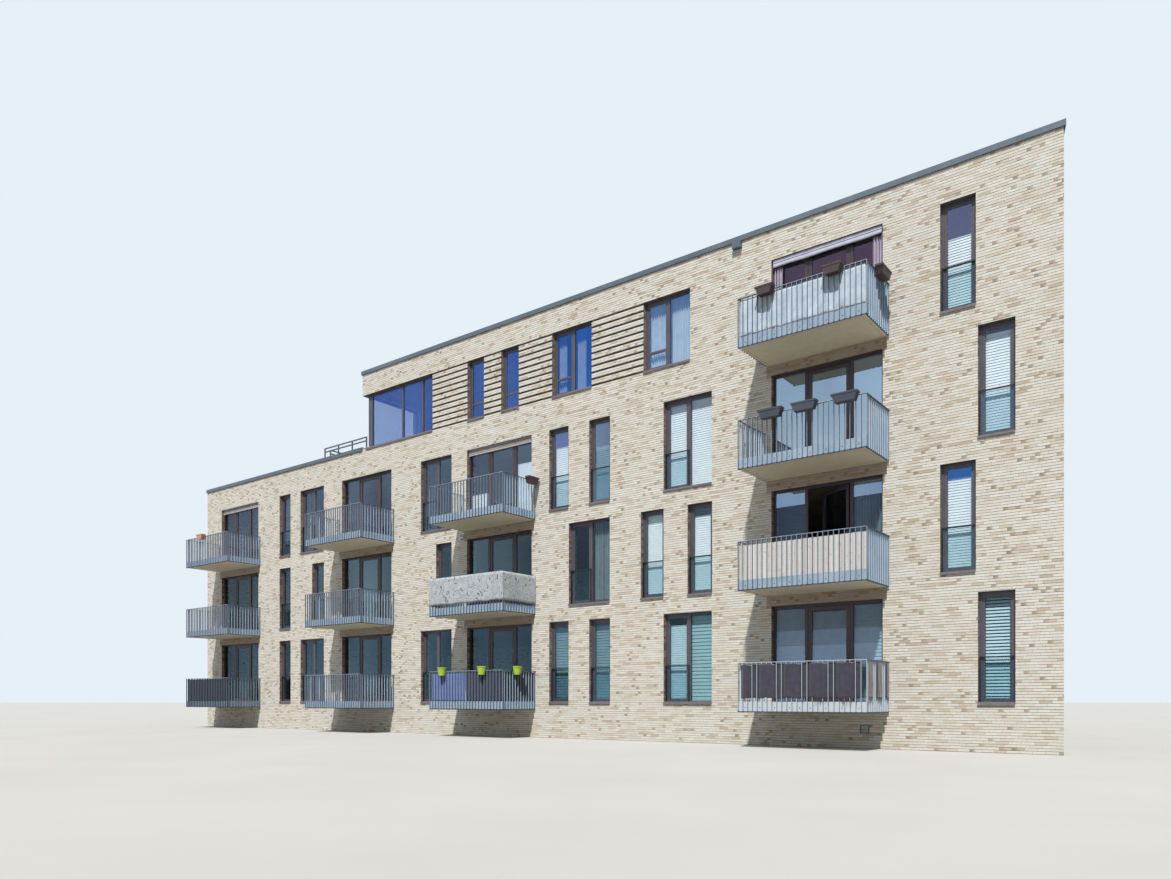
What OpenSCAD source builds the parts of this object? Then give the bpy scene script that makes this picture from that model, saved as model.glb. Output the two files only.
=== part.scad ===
// Brick apartment block, four storeys over its longer part and three under a roof terrace.
// Millimetres. X runs along the street front, Y runs into the building, Z is up.
// Places along the front are measured from its left-hand end, heights from the ground
// or from the floor of the storey that they belong to.

/* [Block] */
// Depth from the street front to the rear front
block_d = 12000; // [9000:10:14000]
// Angle inside the corner where the right-hand end wall leaves the street front, in degrees
end_angle = 75; // [70:1:90]
// Distance from the second column's balcony door to where the fourth storey starts
upper_step = 1205; // [900:5:1500]
// Thickness of the outer walls
wall_t = 400; // [340:5:450]
// Height of the first storey's floor above the ground
base_h = 1060; // [900:10:1300]
// Height of the brick from the top of an opening to the next floor
lintel_h = 470; // [400:5:600]
// Thickness of the floor slabs
floor_t = 250; // [180:5:300]
// Thickness of the slab on the ground
ground_slab_t = 250; // [180:5:300]

/* [Roofs] */
// Thickness of the upper roof slab
roof_t = 300; // [220:5:320]
// Height of the upper walls above the upper roof slab, without their coping
upstand_h = 400; // [300:10:500]
// Height of the parapet round the roof terrace above the fourth floor, without its coping
parapet_h = 550; // [400:10:700]
// Height of the coping's outer face
coping_h = 130; // [90:5:180]
// Thickness of the coping
coping_t = 20; // [10:1:30]
// How far the coping stands out from the wall
coping_out = 40; // [30:1:60]

/* [Terrace railing] */
// Length of the terrace railing's run along the street front
terrace_front_l = 2530; // [1500:10:3500]
// Height of the terrace railing above the coping
terrace_rail_h = 460; // [300:10:1100]
// Distance from the top rail down to the second rail
terrace_rail_drop = 130; // [80:10:250]
// Side of the terrace railing's posts and rails
terrace_bar = 40; // [25:1:50]
// Distance between the terrace railing's posts
terrace_pitch = 770; // [600:10:1100]
// Length of the terrace railing's run into the building
terrace_run = 3080; // [2000:10:6000]
// Clearance between that run and the coping
terrace_gap = 10; // [5:1:50]

/* [Openings] */
// Height of the doors and of the tall windows
opening_h = 2430; // [2300:10:2480]
// Width of a narrow window
narrow_w = 750; // [650:10:850]
// Width of a double window
double_w = 1500; // [1400:10:1560]
// Width of a balcony door with its two side lights
door_w = 2800; // [2700:10:2900]
// Height of the fourth storey's windows
high_h = 1940; // [1500:10:2000]
// Depth of the reveal outside the frames
reveal_d = 120; // [80:5:160]

/* [Brick piers of the first and third storeys, from left to right] */
// Pier left of the first column
pier_a = 1150; // [1000:10:1300]
// Pier right of the first column
pier_b = 1500; // [1300:10:1700]
// Pier between the first narrow window and the double window beside it
pier_c = 660; // [500:10:800]
// Pier left of the second column
pier_d = 1105; // [900:5:1300]
// Pier right of the second column
pier_e = 1535; // [1300:5:1700]
// Pier left of the third column
pier_f = 720; // [600:10:900]
// Pier right of the third column
pier_g = 700; // [550:10:900]
// Pier between the two narrow windows
pier_h = 770; // [600:10:900]
// Pier left of the double window beside the fourth column
pier_i = 1810; // [1600:10:2000]
// Pier left of the fourth column
pier_j = 1700; // [1500:10:1900]
// Pier right of the fourth column
pier_k = 2070; // [1800:10:2300]
// Pier at the right-hand end
pier_l = 910; // [700:10:1200]

/* [Brick piers of the second storey] */
// Pier between the double window and the first narrow window
second_pier_a = 1070; // [800:10:1200]
// Pier between the two narrow windows
second_pier_b = 760; // [600:10:900]
// Pier left of the fourth column
second_pier_c = 1690; // [1500:10:1900]
// Pier right of the fourth column
second_pier_d = 1280; // [1100:10:1500]

/* [Brick piers of the fourth storey] */
// Pier right of the corner window
high_pier_a = 1660; // [1400:10:1900]
// Pier between the two narrow windows
high_pier_b = 750; // [600:10:900]
// Pier left of the first double window
high_pier_c = 1340; // [1100:10:1500]
// Pier between the two double windows
high_pier_d = 1810; // [1500:10:2000]

/* [Corner window] */
// Width of the fourth storey's corner window along the front, from the corner of the block
corner_w = 3710; // [3500:10:3800]
// Length of the corner window along the side that faces the terrace
corner_run = 2400; // [1800:10:3000]
// How far the corner window's side stands back under the brick above it
corner_back = 190; // [100:5:250]
// Width of the corner post
corner_post = 220; // [120:5:260]
// Joint between the corner window's front and its side
corner_joint = 0.3; // [0.2:0.1:1]
// Distance from the corner of the block to the corner window's first upright
corner_bar_a = 2050; // [1900:10:2200]
// Distance from the corner of the block to the corner window's second upright
corner_bar_b = 3080; // [2900:10:3200]

/* [Frames] */
// Depth of the window and door frames
frame_t = 80; // [60:5:100]
// Width of a frame member
frame_w = 60; // [45:5:80]
// Width of an opening casement's own member
sash_w = 60; // [45:5:80]
// How far the casement's members stand back from the frame
sash_back = 12; // [5:1:20]
// Width of the mullion in a double window and of the uprights beside a door leaf
mullion_w = 75; // [60:5:100]
// Thickness of the sealed glass units
glass_t = 28; // [20:1:36]
// Height of the cross bar above the bottom of the fourth storey's windows
transom_h = 500; // [400:10:600]

/* [Balcony door leaves] */
// Width of the left-hand side light's glass
left_light_w = 780; // [700:5:850]
// Width of the space for the leaf
leaf_space_w = 1070; // [1000:5:1120]
// Clearance round a leaf
leaf_gap = 8; // [6:1:12]
// Thickness of a leaf
leaf_t = 70; // [55:1:75]
// Width of a leaf's own member
leaf_w = 95; // [80:5:110]
// Diameter of the bearings that a leaf turns on
bearing_d = 12; // [8:0.5:14]
// Play between a leaf and its bearings
bearing_play = 0.3; // [0.2:0.1:1]
// Angle that the open leaf on the second storey stands at, in degrees
open_angle = 32; // [0:1:90]

/* [Sills and guards] */
// How far a sill stands out from the wall
sill_out = 40; // [25:1:60]
// Height of a sill's nose below the opening
sill_nose = 35; // [20:1:50]
// Thickness of a sill at its front
sill_t = 18; // [10:1:25]
// Slope of a sill from its back to its front
sill_fall = 20; // [5:1:30]
// Height of a window guard above the storey's floor
guard_h = 1030; // [900:10:1100]
// Side of a guard's rail and posts
guard_bar = 30; // [20:1:40]
// Thickness of a guard's glass
guard_glass_t = 16; // [10:1:20]
// Height of a guard's lower edge above the opening's bottom
guard_lift = 60; // [50:5:100]

/* [Grooved brick band] */
// Number of grooves in the band between the fourth storey's windows
groove_n = 11; // [8:1:12]
// Distance from groove to groove
groove_pitch = 187.5; // [150:0.5:190]
// Height of a groove
groove_h = 50; // [15:1:60]
// Depth of a groove
groove_d = 25; // [10:1:40]
// Thickness of the band's brick
band_t = 60; // [50:5:100]

/* [Blinds and curtains behind the glass] */
// Depth of a lowered blind
lowered_t = 20; // [12:1:30]
// How far a blind overlaps the frame beside its glass
blind_lap = 15; // [5:1:30]
// Height that a nearly closed blind leaves free at the top
short_bare = 30; // [10:5:100]
// Height that a half-closed blind leaves free at the top
middle_bare = 250; // [150:10:400]
// Height that an open blind leaves free at the top
long_bare = 700; // [500:10:1000]
// Depth of a curtain's folds
curtain_d = 60; // [40:5:90]
// Distance from the frame to a curtain
curtain_back = 25; // [10:5:60]
// Width of a curtain drawn aside
curtain_w = 320; // [200:10:500]

/* [Balconies] */
// Width of a balcony over its railing
balcony_w = 3130; // [3000:10:3300]
// Depth of a balcony over its railing
balcony_d = 1490; // [1200:10:1700]
// Thickness of a balcony slab
balcony_slab_t = 190; // [150:5:200]
// How far a balcony slab's top lies below the storey's floor
balcony_step = 20; // [0:5:60]
// Distance from a balcony slab's edges to the drip groove in its underside
drip_inset = 60; // [40:5:120]
// Width of the drip groove
drip_w = 20; // [12:1:30]
// Depth of the drip groove
drip_d = 12; // [8:1:20]
// Thickness of the edge plates
plate_t = 8; // [6:1:12]
// How far the edge plates rise above the storey's floor
plate_up = 40; // [20:5:80]
// Height of a balcony railing above the storey's floor
rail_h = 970; // [900:10:1100]
// Thickness of the top rail
rail_t = 12; // [8:1:20]
// Width of a flat bar seen from the front
bar_w = 10; // [8:1:16]
// Depth of a flat bar
bar_d = 40; // [25:1:50]
// Number of bars in a balcony's front
front_bars = 26; // [20:1:30]
// Number of bars in a balcony's side
side_bars = 12; // [8:1:15]

/* [Balcony fittings] */
// Thickness of a screen behind the bars
screen_t = 4; // [3:1:8]
// Clearance between a screen and what it hangs on
screen_gap = 0.3; // [0.2:0.1:1]
// How far a screen's top lies below the top rail
screen_drop = 40; // [10:5:80]
// How far the top of a screen tied outside the bars lies below the top rail
outer_drop = 10; // [5:5:60]
// Height of a screen tied outside the bars
outer_h = 850; // [700:10:940]
// Length of a planter box
planter_l = 600; // [400:10:700]
// Length of a short planter box
short_planter_l = 450; // [350:10:600]
// Distances of the planter boxes on the third storey from their balcony's left-hand end
low_planters = [605, 1430, 2380]; // [0:5:2500]
// Distances of the planter boxes on the fourth storey from their balcony's left-hand end
high_planters = [530, 2170]; // [0:5:2600]
// Distance of the first column's planter box from its balcony's left-hand end
left_planter_x = 1120; // [0:10:2600]
// Distance of the third column's planter box from the wall
side_planter_x = 50; // [0:5:900]
// Width of a planter box at its rim
planter_w = 190; // [140:5:220]
// Height of a planter box
planter_h = 170; // [120:5:220]
// How far a planter box's front and ends slope inwards towards its foot
planter_taper = 25; // [10:1:40]
// Thickness of a planter box's rim
planter_wall = 6; // [4:1:10]
// Depth of the earth below the rim
earth_drop = 35; // [20:5:60]
// Height of a planter box's rim above the top rail
planter_up = 60; // [20:5:100]
// Distances of the round pots from their balcony's left-hand end
front_pots = [620, 2330]; // [130:5:3000]
// Distance of the round pot at the side from the panel's front end
side_pot = 540; // [130:5:1300]
// Radius of a round pot at its rim
pot_r = 150; // [90:5:160]
// Radius of a round pot at its foot
pot_foot_r = 105; // [60:5:140]
// Height of a round pot
pot_h = 250; // [150:5:300]
// Thickness of a round pot's rim
pot_wall = 8; // [5:1:12]
// Height of a round pot's rim above the top rail
pot_up = 110; // [20:5:150]
// Height of the rolled awning over the fourth storey's balcony
awning_h = 200; // [150:5:260]
// Depth of the rolled awning
awning_d = 100; // [80:5:115]
// Height of a raised blind
blind_h = 190; // [120:5:240]
// Depth of a raised blind
blind_d = 60; // [40:5:110]
// Width of an open drape
drape_w = 240; // [150:10:400]
// Depth of a drape's folds
drape_d = 50; // [30:5:80]

// Number of bars out of five that the threaded fabric passes inside
threaded_in = 2; // [1:1:4]
// How far the threaded fabric's lower edge lies above the other screens' lower edge
threaded_lift = 80; // [0:5:150]

/* [Overflow and vent] */
// Distance from the last double window of the fourth storey to the overflow outlet
overflow_step = 1310; // [900:10:1800]
// Width of the overflow outlet
overflow_w = 240; // [150:10:400]
// How far the overflow outlet stands out from the wall
overflow_d = 120; // [60:5:200]
// Height of the overflow outlet
overflow_h = 160; // [100:5:250]
// Distance from the wall's top down to the overflow outlet
overflow_drop = 140; // [120:5:300]

// Distance from the fourth column's balcony door to the vent near the ground
vent_step = 2270; // [1800:10:2500]
// Width of the vent's frame
vent_w = 220; // [150:10:300]
// Height of the vent's frame
vent_h = 200; // [150:10:300]
// Height of the vent above the ground
vent_z = 350; // [200:10:500]
// How far the vent's frame stands out from the wall
vent_d = 25; // [15:1:40]
// Width of the vent frame's members
vent_rim = 22; // [15:1:30]
// Number of the vent's slats
vent_slats = 5; // [3:1:6]
// Height of a slat
slat_h = 8; // [5:1:12]

/* [Rear and end walls] */
// Width of one bay of the rear wall
rear_bay = 3600; // [3300:50:3700]
// Place of the first window in the rear wall
rear_x = 1700; // [1500:50:1900]
// Place of the end wall's first window, along that wall
end_win_a = 3300; // [2500:50:3600]
// Place of the end wall's second window, along that wall
end_win_b = 7600; // [6500:50:8000]

/* [Hidden] */

STOREYS = [1, 2, 3, 4];
eps = 1;

// Colours
brick_c = [0.80, 0.76, 0.67];
concrete_c = [0.55, 0.52, 0.45];
frame_c = [0.20, 0.16, 0.17];
glass_c = [0.60, 0.74, 0.80, 0.45];
steel_c = [0.62, 0.68, 0.73];
blind_c = [0.80, 0.80, 0.78];
coping_c = [0.47, 0.50, 0.52];

// Heights
storey_h = opening_h + lintel_h;
function floor_z(s) = base_h + (s - 1) * storey_h;
top_floor = floor_z(4);
upper_top = top_floor + storey_h + upstand_h;
parapet_top = top_floor + parapet_h;
high_z = top_floor + opening_h - high_h;

// Places along the front, each from the one before it
door_l_x = pier_a;
win_a_x = door_l_x + door_w + pier_b;
win_b_x = win_a_x + narrow_w + pier_c;
door_k_x = win_b_x + double_w + pier_d;
win_c_x = door_k_x + door_w + pier_e;
door_m_x = win_c_x + double_w + pier_f;
win_d_x = door_m_x + door_w + pier_g;
win_e_x = win_d_x + narrow_w + pier_h;
win_f_x = win_e_x + narrow_w + pier_i;
door_r_x = win_f_x + double_w + pier_j;
win_g_x = door_r_x + door_w + pier_k;
front_l = win_g_x + narrow_w + pier_l;
win_j_x = door_r_x - second_pier_c - narrow_w;
win_i_x = win_j_x - second_pier_b - narrow_w;
win_h_x = win_i_x - second_pier_a - double_w;
win_k_x = door_r_x + door_w + second_pier_d;
upper_x = door_k_x + upper_step;
high_a_x = upper_x + corner_w + high_pier_a;
high_b_x = high_a_x + narrow_w + high_pier_b;
high_c_x = high_b_x + narrow_w + high_pier_c;
high_d_x = high_c_x + double_w + high_pier_d;
overflow_x = high_d_x + double_w + overflow_step;
vent_x = door_r_x + vent_step;
terrace_x = upper_x - coping_out - terrace_front_l;

// The right-hand end wall's outer face at depth y, moved out by o
function end_x(y, o = 0) = front_l - y / tan(end_angle) + o / sin(end_angle);
rear_l = end_x(block_d);

// The part stands on the middle of its own bounding box
planter_out = planter_w + screen_gap;
box_left = -coping_out;
box_right = end_x(-coping_out, coping_out);
box_front = -balcony_d - planter_out;
box_back = block_d + max(coping_out, sill_out);
mid_x = (box_left + box_right) / 2;
mid_y = (box_front + box_back) / 2;

module placed()
    translate([-mid_x, -mid_y, 0]) children();

// Openings of the street front, each as place, bottom, width, height and number of lights
function tall(s, x, w) = [x, floor_z(s), w, opening_h, w > (narrow_w + double_w) / 2 ? 2 : 1];
function high(x, w) = [x, high_z, w, high_h, w > (narrow_w + double_w) / 2 ? 2 : 1];
inner_right = double_w - narrow_w;
function odd_windows(s) = [
    tall(s, win_a_x, narrow_w), tall(s, win_b_x, double_w), tall(s, win_c_x, double_w),
    tall(s, win_d_x, narrow_w), tall(s, win_e_x, narrow_w), tall(s, win_f_x, double_w),
    tall(s, win_g_x, narrow_w)
];
second_windows = [
    tall(2, win_a_x, narrow_w), tall(2, win_b_x + inner_right, narrow_w),
    tall(2, win_c_x + inner_right, narrow_w), tall(2, win_h_x, double_w),
    tall(2, win_i_x, narrow_w), tall(2, win_j_x, narrow_w), tall(2, win_k_x, narrow_w)
];
high_windows = [
    high(high_a_x, narrow_w), high(high_b_x, narrow_w),
    high(high_c_x, double_w), high(high_d_x, double_w)
];
function tall_windows(s) =
    s == 2 ? second_windows : s == 4 ? [tall(4, win_k_x, narrow_w)] : odd_windows(s);
function front_windows(s) = s == 4 ? concat(high_windows, tall_windows(4)) : tall_windows(s);

// Balcony doors: three columns end under the terrace or the grooved band
function door_places(s) =
    s == 4 ? [door_r_x] : [door_l_x, door_k_x, door_m_x, door_r_x];
DOORS = [for (s = STOREYS) for (x = door_places(s)) [x, s]];
MOVING = [[door_l_x, 1], [door_m_x, 1], [door_r_x, 1]];
OPEN = [door_r_x, 2];
FIXED = [for (d = DOORS) if (len([for (m = MOVING) if (m == d) 1]) == 0 && d != OPEN) d];

// Rear wall: one bay in two has a double window
function rear_windows(s) = [
    for (i = [0 : 7])
        let (w = i % 2 == 0 ? double_w : narrow_w, x = rear_x + i * rear_bay)
        if ((s < 4 || x > upper_x + wall_t) && x + w < rear_l - wall_t) tall(s, x, w)
];
end_windows = [for (s = STOREYS) for (x = [end_win_a, end_win_b]) tall(s, x, narrow_w)];

// Leaf and side lights of a balcony door, measured from the opening's left edge
leaf_x = frame_w + left_light_w + mullion_w;
right_light_x = leaf_x + leaf_space_w;
leaf_size = [leaf_space_w - 2 * leaf_gap, leaf_t, opening_h - 2 * frame_w - 2 * leaf_gap];
frame_back = reveal_d + frame_t;

// Walls

// A length of wall in the street front's plane, its right-hand end cut to the end wall
module front_slab(x0, x1, z0, z1) {
    right = x1 >= front_l ? [[front_l, 0], [end_x(wall_t), wall_t]] : [[x1, 0], [x1, wall_t]];
    translate([0, 0, z0])
        linear_extrude(z1 - z0) polygon(concat([[x0, 0]], right, [[x0, wall_t]]));
}

module cut_windows(list)
    for (o = list)
        translate([o[0], -eps, o[1]]) cube([o[2], wall_t + 2 * eps, o[3]]);

module cut_doors(s)
    for (x = door_places(s))
        translate([x, -eps, floor_z(s) - eps]) cube([door_w, wall_t + 2 * eps, storey_h * 2]);

// Puts children drawn on a front facing -Y onto the rear front, place 0 at its left-hand end
module on_rear()
    translate([0, block_d, 0]) mirror([0, 1, 0]) children();

// Puts children drawn on a front facing -Y onto the slanted end wall
module on_end()
    translate([front_l, 0, 0]) rotate([0, 0, 180 - end_angle]) children();

module front_storey(s)
    difference() {
        front_slab(0, front_l, floor_z(s), floor_z(s + 1));
        cut_doors(s);
        cut_windows(front_windows(s));
    }

module base_slab()
    color(concrete_c) placed()
        linear_extrude(ground_slab_t)
            polygon([[wall_t, wall_t], [end_x(wall_t, -wall_t), wall_t],
                [end_x(block_d - wall_t, -wall_t), block_d - wall_t], [wall_t, block_d - wall_t]]);

module base_walls_long()
    color(brick_c) placed() {
        front_slab(0, front_l, 0, base_h);
        rear_slab(0, 0, base_h);
    }

module base_walls_end()
    color(brick_c) placed() {
        side_slab(0, base_h);
        end_slab(0, base_h);
    }

// Rear wall from place x0, its right-hand end cut to the end wall
module rear_slab(x0, z0, z1)
    translate([0, 0, z0])
        linear_extrude(z1 - z0)
            polygon([[x0, block_d - wall_t], [end_x(block_d - wall_t), block_d - wall_t],
                [rear_l, block_d], [x0, block_d]]);

// Plain wall on the left-hand end
module side_slab(z0, z1)
    translate([0, wall_t, z0]) cube([wall_t, block_d - 2 * wall_t, z1 - z0]);

// Slanted wall on the right-hand end, between the two long walls
module end_slab(z0, z1)
    translate([0, 0, z0])
        linear_extrude(z1 - z0)
            polygon([[end_x(wall_t, -wall_t), wall_t], [end_x(wall_t), wall_t],
                [end_x(block_d - wall_t), block_d - wall_t],
                [end_x(block_d - wall_t, -wall_t), block_d - wall_t]]);

module party_wall()
    color(brick_c) placed() side_slab(base_h, parapet_top);

module end_wall()
    color(brick_c) placed()
        difference() {
            end_slab(base_h, upper_top);
            on_end() cut_windows(end_windows);
        }

module front_wall_1()
    color(brick_c) placed() front_storey(1);

module front_wall_2()
    color(brick_c) placed() front_storey(2);

module front_wall_3()
    color(brick_c) placed() front_storey(3);

// Fourth storey: brick over and under the corner window, and a recess for the grooved band
module front_wall_4()
    color(brick_c) placed()
        difference() {
            front_slab(upper_x, front_l, top_floor, upper_top);
            cut_doors(4);
            cut_windows(front_windows(4));
            translate([upper_x - eps, -eps, high_z])
                cube([corner_w + eps, wall_t + 2 * eps, high_h]);
            translate([upper_x + corner_w - eps, -eps, high_z])
                cube([band_end - upper_x - corner_w + eps, band_t + eps, high_h]);
        }

module door_lintels()
    color(brick_c) placed()
        for (d = DOORS) {
            z = floor_z(d[1]) + opening_h;
            top = d[1] == 4 ? upper_top : floor_z(d[1] + 1);
            front_slab(d[0], d[0] + door_w, z, top);
        }

module rear_wall_lower()
    color(brick_c) placed()
        difference() {
            rear_slab(0, base_h, top_floor);
            on_rear() for (s = [1, 2, 3]) cut_windows(rear_windows(s));
        }

module rear_wall_upper()
    color(brick_c) placed()
        difference() {
            rear_slab(upper_x, top_floor, upper_top);
            on_rear() cut_windows(rear_windows(4));
        }

// The upper storey's wall on the terrace side, from height z0 up
module upper_side(z0)
    translate([upper_x, wall_t, z0]) cube([wall_t, block_d - 2 * wall_t, upper_top - z0]);

// Wall that faces the terrace: brick over and under the corner window's side
module side_wall_upper()
    color(brick_c) placed()
        difference() {
            upper_side(top_floor);
            translate([upper_x - eps, wall_t - eps, high_z])
                cube([wall_t + 2 * eps, corner_run - wall_t + eps, high_h]);
        }

module low_parapets()
    color(brick_c) placed()
        for (y = [0, block_d - wall_t])
            translate([0, y, top_floor]) cube([upper_x, wall_t, parapet_h]);

// Floors and roof

module inner_slab(x0, z0, z1)
    translate([0, 0, z0])
        linear_extrude(z1 - z0)
            polygon([[x0, wall_t], [end_x(wall_t, -wall_t), wall_t],
                [end_x(block_d - wall_t, -wall_t), block_d - wall_t], [x0, block_d - wall_t]]);

module floor_slabs()
    color(concrete_c) placed()
        for (s = STOREYS)
            inner_slab(wall_t, floor_z(s) - floor_t, floor_z(s));

module roof_slab()
    color(concrete_c) placed()
        inner_slab(upper_x + wall_t, floor_z(5) - roof_t, floor_z(5));

// Copings: a cap over the wall with a skirt down each side

// Section of a coping, drawn across the wall with the outer face at 0
module coping_section(t)
    difference() {
        translate([-coping_out, 0]) square([t + 2 * coping_out, coping_h]);
        translate([coping_t - coping_out, -eps])
            square([t + 2 * coping_out - 2 * coping_t, coping_h - coping_t + eps]);
        translate([0, -eps]) square([t, coping_h - coping_t + eps]);
    }

// A run of coping along the front or the rear wall at y0, with its left-hand end closed
// where closed is 1 and its right-hand end cut by the outline right
module long_run(x0, y0, closed, right, z) {
    outer = [y0 - coping_out, y0 + wall_t + coping_out];
    inner = [outer[0] + coping_t, outer[1] - coping_t];
    translate([0, 0, z]) difference() {
        linear_extrude(coping_h)
            polygon([[x0, outer[0]], [right(outer[0], coping_out), outer[0]],
                [right(outer[1], coping_out), outer[1]], [x0, outer[1]]]);
        translate([0, 0, -eps]) linear_extrude(coping_h - coping_t + eps)
            polygon([[x0 + closed * coping_t, inner[0]],
                [right(inner[0], coping_out - coping_t), inner[0]],
                [right(inner[1], coping_out - coping_t), inner[1]],
                [x0 + closed * coping_t, inner[1]]]);
    }
}

coping_z = upper_top - coping_h + coping_t;
low_coping_z = parapet_top - coping_h + coping_t;

// Right-hand ends of the two runs: the slanted wall, and the upper storey's side
slanted_end = function(y, o) end_x(y, o);
straight_end = function(y, o) upper_x + (o < coping_out ? eps : 0);

module copings_long()
    color(coping_c) placed()
        difference() {
            for (y = [0, block_d - wall_t]) {
                long_run(upper_x - coping_out, y, 1, slanted_end, coping_z);
                long_run(-coping_out, y, 1, straight_end, low_coping_z);
            }
            side_slab(0, parapet_top);
            end_slab(0, upper_top);
            upper_side(0);
        }

module cross_run(l)
    rotate([90, 0, 180]) linear_extrude(l) mirror([1, 0]) coping_section(wall_t);

module copings_end()
    color(coping_c) placed() {
        y0 = wall_t + coping_out;
        l = block_d - 2 * y0;
        for (p = [[0, low_coping_z], [upper_x, coping_z]])
            translate([p[0], y0, p[1]]) cross_run(l);
        translate([0, 0, coping_z]) difference() {
            end_strip(-coping_out, wall_t + coping_out, y0, l, coping_h);
            translate([0, 0, -eps])
                end_strip(coping_t - coping_out, wall_t + coping_out - coping_t,
                    y0 - eps, l + 2 * eps, coping_h - coping_t + eps);
        }
    }

// A strip along the slanted end wall, from a to b inwards of its outer face
module end_strip(a, b, y0, l, h)
    linear_extrude(h)
        polygon([[end_x(y0, -b), y0], [end_x(y0, -a), y0],
            [end_x(y0 + l, -a), y0 + l], [end_x(y0 + l, -b), y0 + l]]);

// Terrace railing: a run over the street front and a run back along the terrace's edge

module railing_run(l, n)
    union() {
        for (i = [0 : n])
            translate([i * (l - terrace_bar) / n, 0, 0])
                cube([terrace_bar, terrace_bar, terrace_rail_h]);
        for (z = [terrace_rail_h - terrace_bar, terrace_rail_h - terrace_bar - terrace_rail_drop])
            translate([0, 0, z]) cube([l, terrace_bar, terrace_bar]);
    }

module terrace_railing()
    color(coping_c) placed() {
        y = wall_t / 2;
        z = low_coping_z + coping_h;
        deck = parapet_top - top_floor;
        translate([terrace_x, y, z])
            railing_run(terrace_front_l, round(terrace_front_l / terrace_pitch));
        translate([terrace_x, wall_t + coping_out + terrace_gap, top_floor])
            union() {
                n = round(terrace_run / terrace_pitch);
                for (i = [0 : n])
                    translate([0, i * (terrace_run - terrace_bar) / n, 0])
                        cube([terrace_bar, terrace_bar, deck + coping_t + terrace_rail_h]);
                for (d = [0, terrace_rail_drop])
                    translate([0, 0, deck + coping_t + terrace_rail_h - terrace_bar - d])
                        cube([terrace_bar, terrace_run, terrace_bar]);
            }
    }

// Grooved brick band between the corner window and the last high window
band_start = upper_x + corner_w;
band_end = high_d_x;

module grooved_band()
    color(brick_c) placed()
        difference() {
            translate([band_start, 0, high_z]) cube([band_end - band_start, band_t, high_h]);
            cut_windows(high_windows);
            for (i = [0 : groove_n - 1])
                translate([band_start - eps, -eps,
                    high_z + high_h - (high_h - (groove_n - 1) * groove_pitch) / 2 - i * groove_pitch
                        - groove_h / 2])
                    cube([band_end - band_start + 2 * eps, groove_d + eps, groove_h]);
        }

// Window frames and glass, drawn for one opening of a front that faces -Y

// A ring with a w by h outside, member width m, from depth y over thickness t
module ring(x, z, w, h, m, y, t)
    translate([x, y, z]) difference() {
        cube([w, t, h]);
        translate([m, -eps, m]) cube([w - 2 * m, t + 2 * eps, h - 2 * m]);
    }

// Width of the first light of a double window
function first_light(o) = (o[2] - mullion_w) / 2 - frame_w;

module window_frame(o)
    union() {
        ring(o[0], o[1], o[2], o[3], frame_w, reveal_d, frame_t);
        light = o[4] == 2 ? first_light(o) : o[2] - 2 * frame_w;
        if (o[4] == 2)
            translate([o[0] + frame_w + light, reveal_d, o[1] + frame_w])
                cube([mullion_w, frame_t, o[3] - 2 * frame_w]);
        ring(o[0] + frame_w, o[1] + frame_w, light, o[3] - 2 * frame_w, sash_w,
            reveal_d + sash_back, frame_t - sash_back);
        if (o[3] == high_h)
            translate([o[0] + frame_w, reveal_d + sash_back, o[1] + transom_h])
                cube([light, frame_t - sash_back, sash_w]);
    }

// Glass fills the lights: the first one sits in the casement, the second in the frame
module window_glass(o) {
    y = reveal_d + (frame_t - glass_t) / 2;
    inset = frame_w + sash_w;
    light = o[4] == 2 ? first_light(o) : o[2] - 2 * frame_w;
    bars = o[3] == high_h ? [[inset, transom_h], [transom_h + sash_w, o[3] - inset]]
        : [[inset, o[3] - inset]];
    for (b = bars)
        translate([o[0] + inset, y, o[1] + b[0]])
            cube([light - 2 * sash_w, glass_t, b[1] - b[0]]);
    if (o[4] == 2)
        translate([o[0] + frame_w + light + mullion_w, y, o[1] + frame_w])
            cube([first_light(o), glass_t, o[3] - 2 * frame_w]);
}

// Corner window: uprights along the front, a post at the corner and a return to the side wall
corner_x = upper_x + corner_back;
corner_end = upper_x + corner_w;

module corner_frame() {
    difference() {
        translate([corner_x, reveal_d, high_z])
            cube([corner_end - corner_x, frame_t, high_h]);
        for (b = corner_lights)
            translate([b[0], reveal_d - eps, high_z + frame_w])
                cube([b[1] - b[0], frame_t + 2 * eps, high_h - 2 * frame_w]);
    }
    difference() {
        translate([corner_x, frame_back + corner_joint, high_z])
            cube([frame_t, corner_side_l, high_h]);
        translate([corner_x - eps, frame_back + corner_joint + frame_w, high_z + frame_w])
            cube([frame_t + 2 * eps, corner_side_l - 2 * frame_w, high_h - 2 * frame_w]);
    }
}

corner_side_l = corner_run - frame_back - corner_joint;
corner_lights = [
    [corner_x + corner_post, upper_x + corner_bar_a - mullion_w / 2],
    [upper_x + corner_bar_a + mullion_w / 2, upper_x + corner_bar_b - mullion_w / 2],
    [upper_x + corner_bar_b + mullion_w / 2, corner_end - frame_w]
];

module corner_glass() {
    for (b = corner_lights)
        translate([b[0], reveal_d + (frame_t - glass_t) / 2, high_z + frame_w])
            cube([b[1] - b[0], glass_t, high_h - 2 * frame_w]);
    translate([corner_x + (frame_t - glass_t) / 2, frame_back + corner_joint + frame_w, high_z + frame_w])
        cube([glass_t, corner_side_l - 2 * frame_w, high_h - 2 * frame_w]);
}

module window_frames_front()
    color(frame_c) placed() {
        for (s = STOREYS) for (o = front_windows(s)) window_frame(o);
        corner_frame();
    }

module window_frames_rear()
    color(frame_c) placed() {
        on_rear() for (s = STOREYS) for (o = rear_windows(s)) window_frame(o);
        on_end() for (o = end_windows) window_frame(o);
    }

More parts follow.
